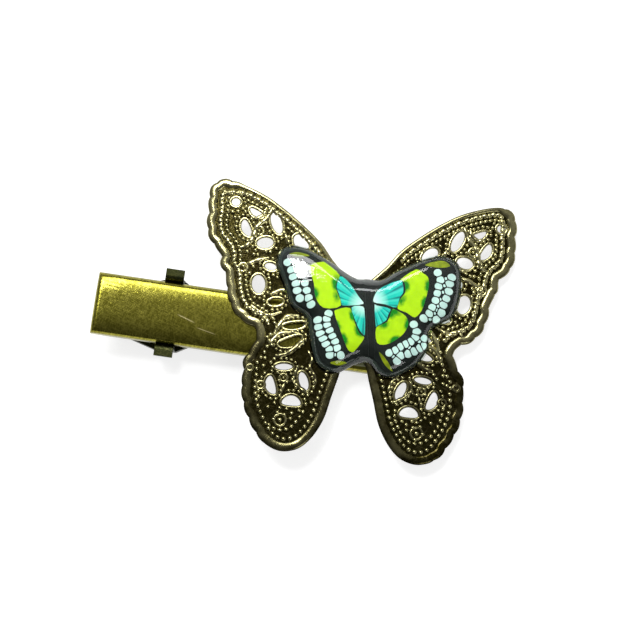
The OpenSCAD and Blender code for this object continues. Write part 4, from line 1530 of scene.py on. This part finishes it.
class HAIRCLIP_OT_clay_wings(Piece):
    """Four black wings with pockets for the inlays, and all that is laid in them"""
    bl_idname = "hairclip.clay_wings"
    bl_label = "Clay wings"

    pocket_play = 0.004
    # The start of each inlay's name, its material and slot, and the start of its node's name
    inlays = (
        ("lime_panel_", "lime_clay", "lime_"),
        ("turquoise_fan_", "turquoise_clay", "turquoise_"),
        ("olive_streak_", "olive_clay", "streak_"),
    )

    def build(self, metal, clay):
        gap = clay.inlay_gap / MM
        border = clay.border_w / MM
        for name, wing in WINGS.items():
            lime = panel_outline(wing["lime"], gap)
            fan = panel_outline(wing["fan"], gap)
            streak = smooth_loop(wing["streak"], 5)
            cells = cell_outlines(wing["cells"], clay)
            region = counter_clockwise(np.array(wing["region"], float))
            ground = slab("ground", region, BACKING_TOP, ROUGH_TOP)
            carve(ground, cutter("edge", inset(RESIN_OUTLINE, border)), "INTERSECT")
            for group in ([lime], [fan], [streak] + cells):
                pockets = [cutter("pocket", inset(outline, -self.pocket_play)) for outline in group]
                carve(ground, joined(pockets, "pockets"))
            ground.name = "wing_ground_" + name
            raise_top(ground, border, 0)
            close_clay(ground, "black_clay", ("wing_" + name,))
            for outline, (label, slot, node) in zip((lime, fan, streak), self.inlays):
                piece = layer(label + name, outline, border, INLAY_LIFT)
                self.mark(piece, slot, outline, wing)
                close_clay(piece, slot, (node + name,))
            made = [layer("cell", outline, border, CELL_LIFT, CELL_STEP) for outline in cells]
            whole = joined(made, "white_cells_" + name)
            close_clay(whole, "white_clay", ("cells_" + name,))

    def mark(self, piece, slot, outline, wing):
        """Keeps where a panel's blotches or a fan's folds lie, for the material."""
        points = coords(piece)[:, :2]
        if slot == "lime_clay":
            near = np.min([np.linalg.norm(points - spot, axis=1) for spot in wing["blotches"]], axis=0)
            edge = edge_gap(points, outline)
            paint(piece, "blotch", np.clip(1.15 - near / 1.15, 0, 1) * np.clip(1.15 - edge / 0.9, 0, 1))
        if slot == "turquoise_clay":
            away = points - wing["root"]
            reach = np.linalg.norm(away, axis=1)
            paint(piece, "fan_reach", reach / reach.max())
            angle = np.arctan2(away[:, 1], np.abs(away[:, 0]))
            paint(piece, "fan_angle", (angle - angle.min()) / (angle.max() - angle.min()))


class HAIRCLIP_OT_resin(Piece):
    """Clear resin domed over the clay, with a skirt down to the filigree"""
    bl_idname = "hairclip.resin"
    bl_label = "Resin coat"

    edge_h = 0.12
    rings = (0.05, 0.08, 0.1, 0.14, 0.18)

    def build(self, metal, clay):
        coat = slab("resin_dome", RESIN_OUTLINE, 0, ROUGH_TOP, self.rings)
        grid_cut(coat, RESIN_STEP, RESIN_STEP)
        points = coords(coat)
        top = points[:, 2] > ROUGH_TOP / 2
        height = resin_height(points, clay.dome_h / MM)
        points[:, 2] = np.where(top, np.maximum(height, 0) + self.edge_h, CORE_FLOOR)
        set_coords(coat, points)
        close_clay(coat, "clear_resin", ("resin_coat",), 75)


# ---- Studio ----
class HAIRCLIP_OT_studio(bpy.types.Operator):
    """Pale floor, soft lights and the camera"""
    bl_idname = "hairclip.studio"
    bl_label = "Studio"

    # The middle of the picture in the clip's frame, and the camera's sensor, in millimetres
    look_at = (28.98, 1.77, 0)
    sensor = 36
    # In metres
    floor_half = 0.6
    floor_drop = 0.00002
    # Each lamp's place, width and height in metres, and its watts
    lamps = {
        "key": ((-0.08, 0.222, 0.352), 0.30, 0.15, 1.3),
        "fill": ((0.22, -0.26, 0.26), 0.16, 0.16, 0.25),
        "window": ((-0.077, 0.142, 0.42), 0.075, 0.06, 0.46),
    }

    def execute(self, context):
        studio = context.scene.hair_clip_studio
        self.floor()
        self.camera(studio)
        for name, (place, width, height, watts) in self.lamps.items():
            self.lamp(name, place, width, height, watts)
        self.sky()
        context.scene.view_settings.view_transform = "Standard"
        return {"FINISHED"}

    def floor(self):
        deselect()
        bpy.ops.mesh.primitive_plane_add(size=2 * self.floor_half, location=(0, 0, -self.floor_drop))
        floor = bpy.context.object
        floor.name = "floor"
        material, tree, shader = new_material("paper")
        place = millimetres(tree)
        grain = grain_of(tree, place, 0.4, 3.0)
        put(tree, shader.inputs["Base Color"], mix(tree, grain, (0.52, 0.52, 0.52), (0.48, 0.48, 0.48)))
        shader.inputs["Roughness"].default_value = 0.9
        shader.inputs["Emission Color"].default_value = (1, 1, 1, 1)
        shader.inputs["Emission Strength"].default_value = 0.75
        floor.data.materials.append(material)

    def camera(self, studio):
        away = studio.view_width * studio.lens / self.sensor
        turn = CLIP_TO_ROW.to_3x3().normalized()
        target = CLIP_TO_ROW @ Vector(self.look_at)
        outward = turn @ Vector((0, -math.sin(studio.lean), math.cos(studio.lean)))
        along = turn @ Vector((1, 0, 0))
        across = outward.cross(along)
        right = along * math.cos(studio.turn) + across * math.sin(studio.turn)
        up = outward.cross(right)
        data = bpy.data.cameras.new("camera")
        data.lens = studio.lens
        data.sensor_width = self.sensor
        data.clip_start = 0.01
        camera = bpy.data.objects.new("camera", data)
        bpy.context.collection.objects.link(camera)
        basis = Matrix((right, up, outward)).transposed().to_4x4()
        camera.matrix_world = Matrix.Translation(target + outward * away) @ basis
        bpy.context.scene.camera = camera

    def lamp(self, name, place, width, height, watts):
        data = bpy.data.lights.new(name, "AREA")
        data.shape = "RECTANGLE"
        data.size = width
        data.size_y = height
        data.energy = watts
        lamp = bpy.data.objects.new(name, data)
        bpy.context.collection.objects.link(lamp)
        lamp.location = place
        lamp.rotation_euler = (-Vector(place)).to_track_quat("-Z", "Y").to_euler()

    def sky(self):
        world = bpy.data.worlds.new("studio")
        world.use_nodes = True
        bpy.context.scene.world = world
        tree = world.node_tree
        way = add(tree, "TexCoord").outputs["Generated"]
        parts = add(tree, "SeparateXYZ", None, Vector=way).outputs
        across = fit(tree, parts["Y"], -0.3, 0.45, 0.14, 0.55)
        bright = calc(tree, "MULTIPLY", across, fit(tree, parts["Z"], 0.0, 0.5, 0.5, 1.0))
        tone = mix(tree, bright, (0, 0, 0), (1, 1, 1))
        put(tree, tree.nodes["Background"].inputs["Color"], tone)
        tree.nodes["Background"].inputs["Strength"].default_value = 1.0


class HAIRCLIP_PT_panel(bpy.types.Panel):
    """Sizes, colours and pieces of the hair clip"""
    bl_idname = "HAIRCLIP_PT_panel"
    bl_label = "Hair clip"
    bl_space_type = "VIEW_3D"
    bl_region_type = "UI"
    bl_category = "Hair clip"

    def draw(self, context):
        for label in GROUPS:
            group = getattr(context.scene, label)
            box = self.layout.box()
            for name in group.__annotations__:
                box.prop(group, name)
        for operator in PIECES:
            self.layout.operator(operator.bl_idname)


PIECES = (
    HAIRCLIP_OT_studio,
    HAIRCLIP_OT_upper_arm,
    HAIRCLIP_OT_lower_arm,
    HAIRCLIP_OT_rivet,
    HAIRCLIP_OT_spring,
    HAIRCLIP_OT_glue,
    HAIRCLIP_OT_filigree,
    HAIRCLIP_OT_clay_base,
    HAIRCLIP_OT_clay_wings,
    HAIRCLIP_OT_resin,
)
GROUPS = {
    "hair_clip_metal": HAIRCLIP_PG_metal,
    "hair_clip_clay": HAIRCLIP_PG_clay,
    "hair_clip_studio": HAIRCLIP_PG_studio,
}


def register():
    for group in GROUPS.values():
        bpy.utils.register_class(group)
    for name, group in GROUPS.items():
        setattr(bpy.types.Scene, name, PointerProperty(type=group))
    for operator in PIECES:
        bpy.utils.register_class(operator)
    bpy.utils.register_class(HAIRCLIP_PT_panel)


def unregister():
    bpy.utils.unregister_class(HAIRCLIP_PT_panel)
    for operator in reversed(PIECES):
        bpy.utils.unregister_class(operator)
    for name, group in GROUPS.items():
        delattr(bpy.types.Scene, name)
        bpy.utils.unregister_class(group)


def main():
    register()
    bpy.ops.hairclip.studio()
    bpy.ops.hairclip.upper_arm()
    bpy.ops.hairclip.lower_arm()
    bpy.ops.hairclip.rivet()
    bpy.ops.hairclip.spring()
    bpy.ops.hairclip.glue()
    bpy.ops.hairclip.filigree()
    bpy.ops.hairclip.clay_base()
    bpy.ops.hairclip.clay_wings()
    bpy.ops.hairclip.resin()


if __name__ == "__main__":
    main()
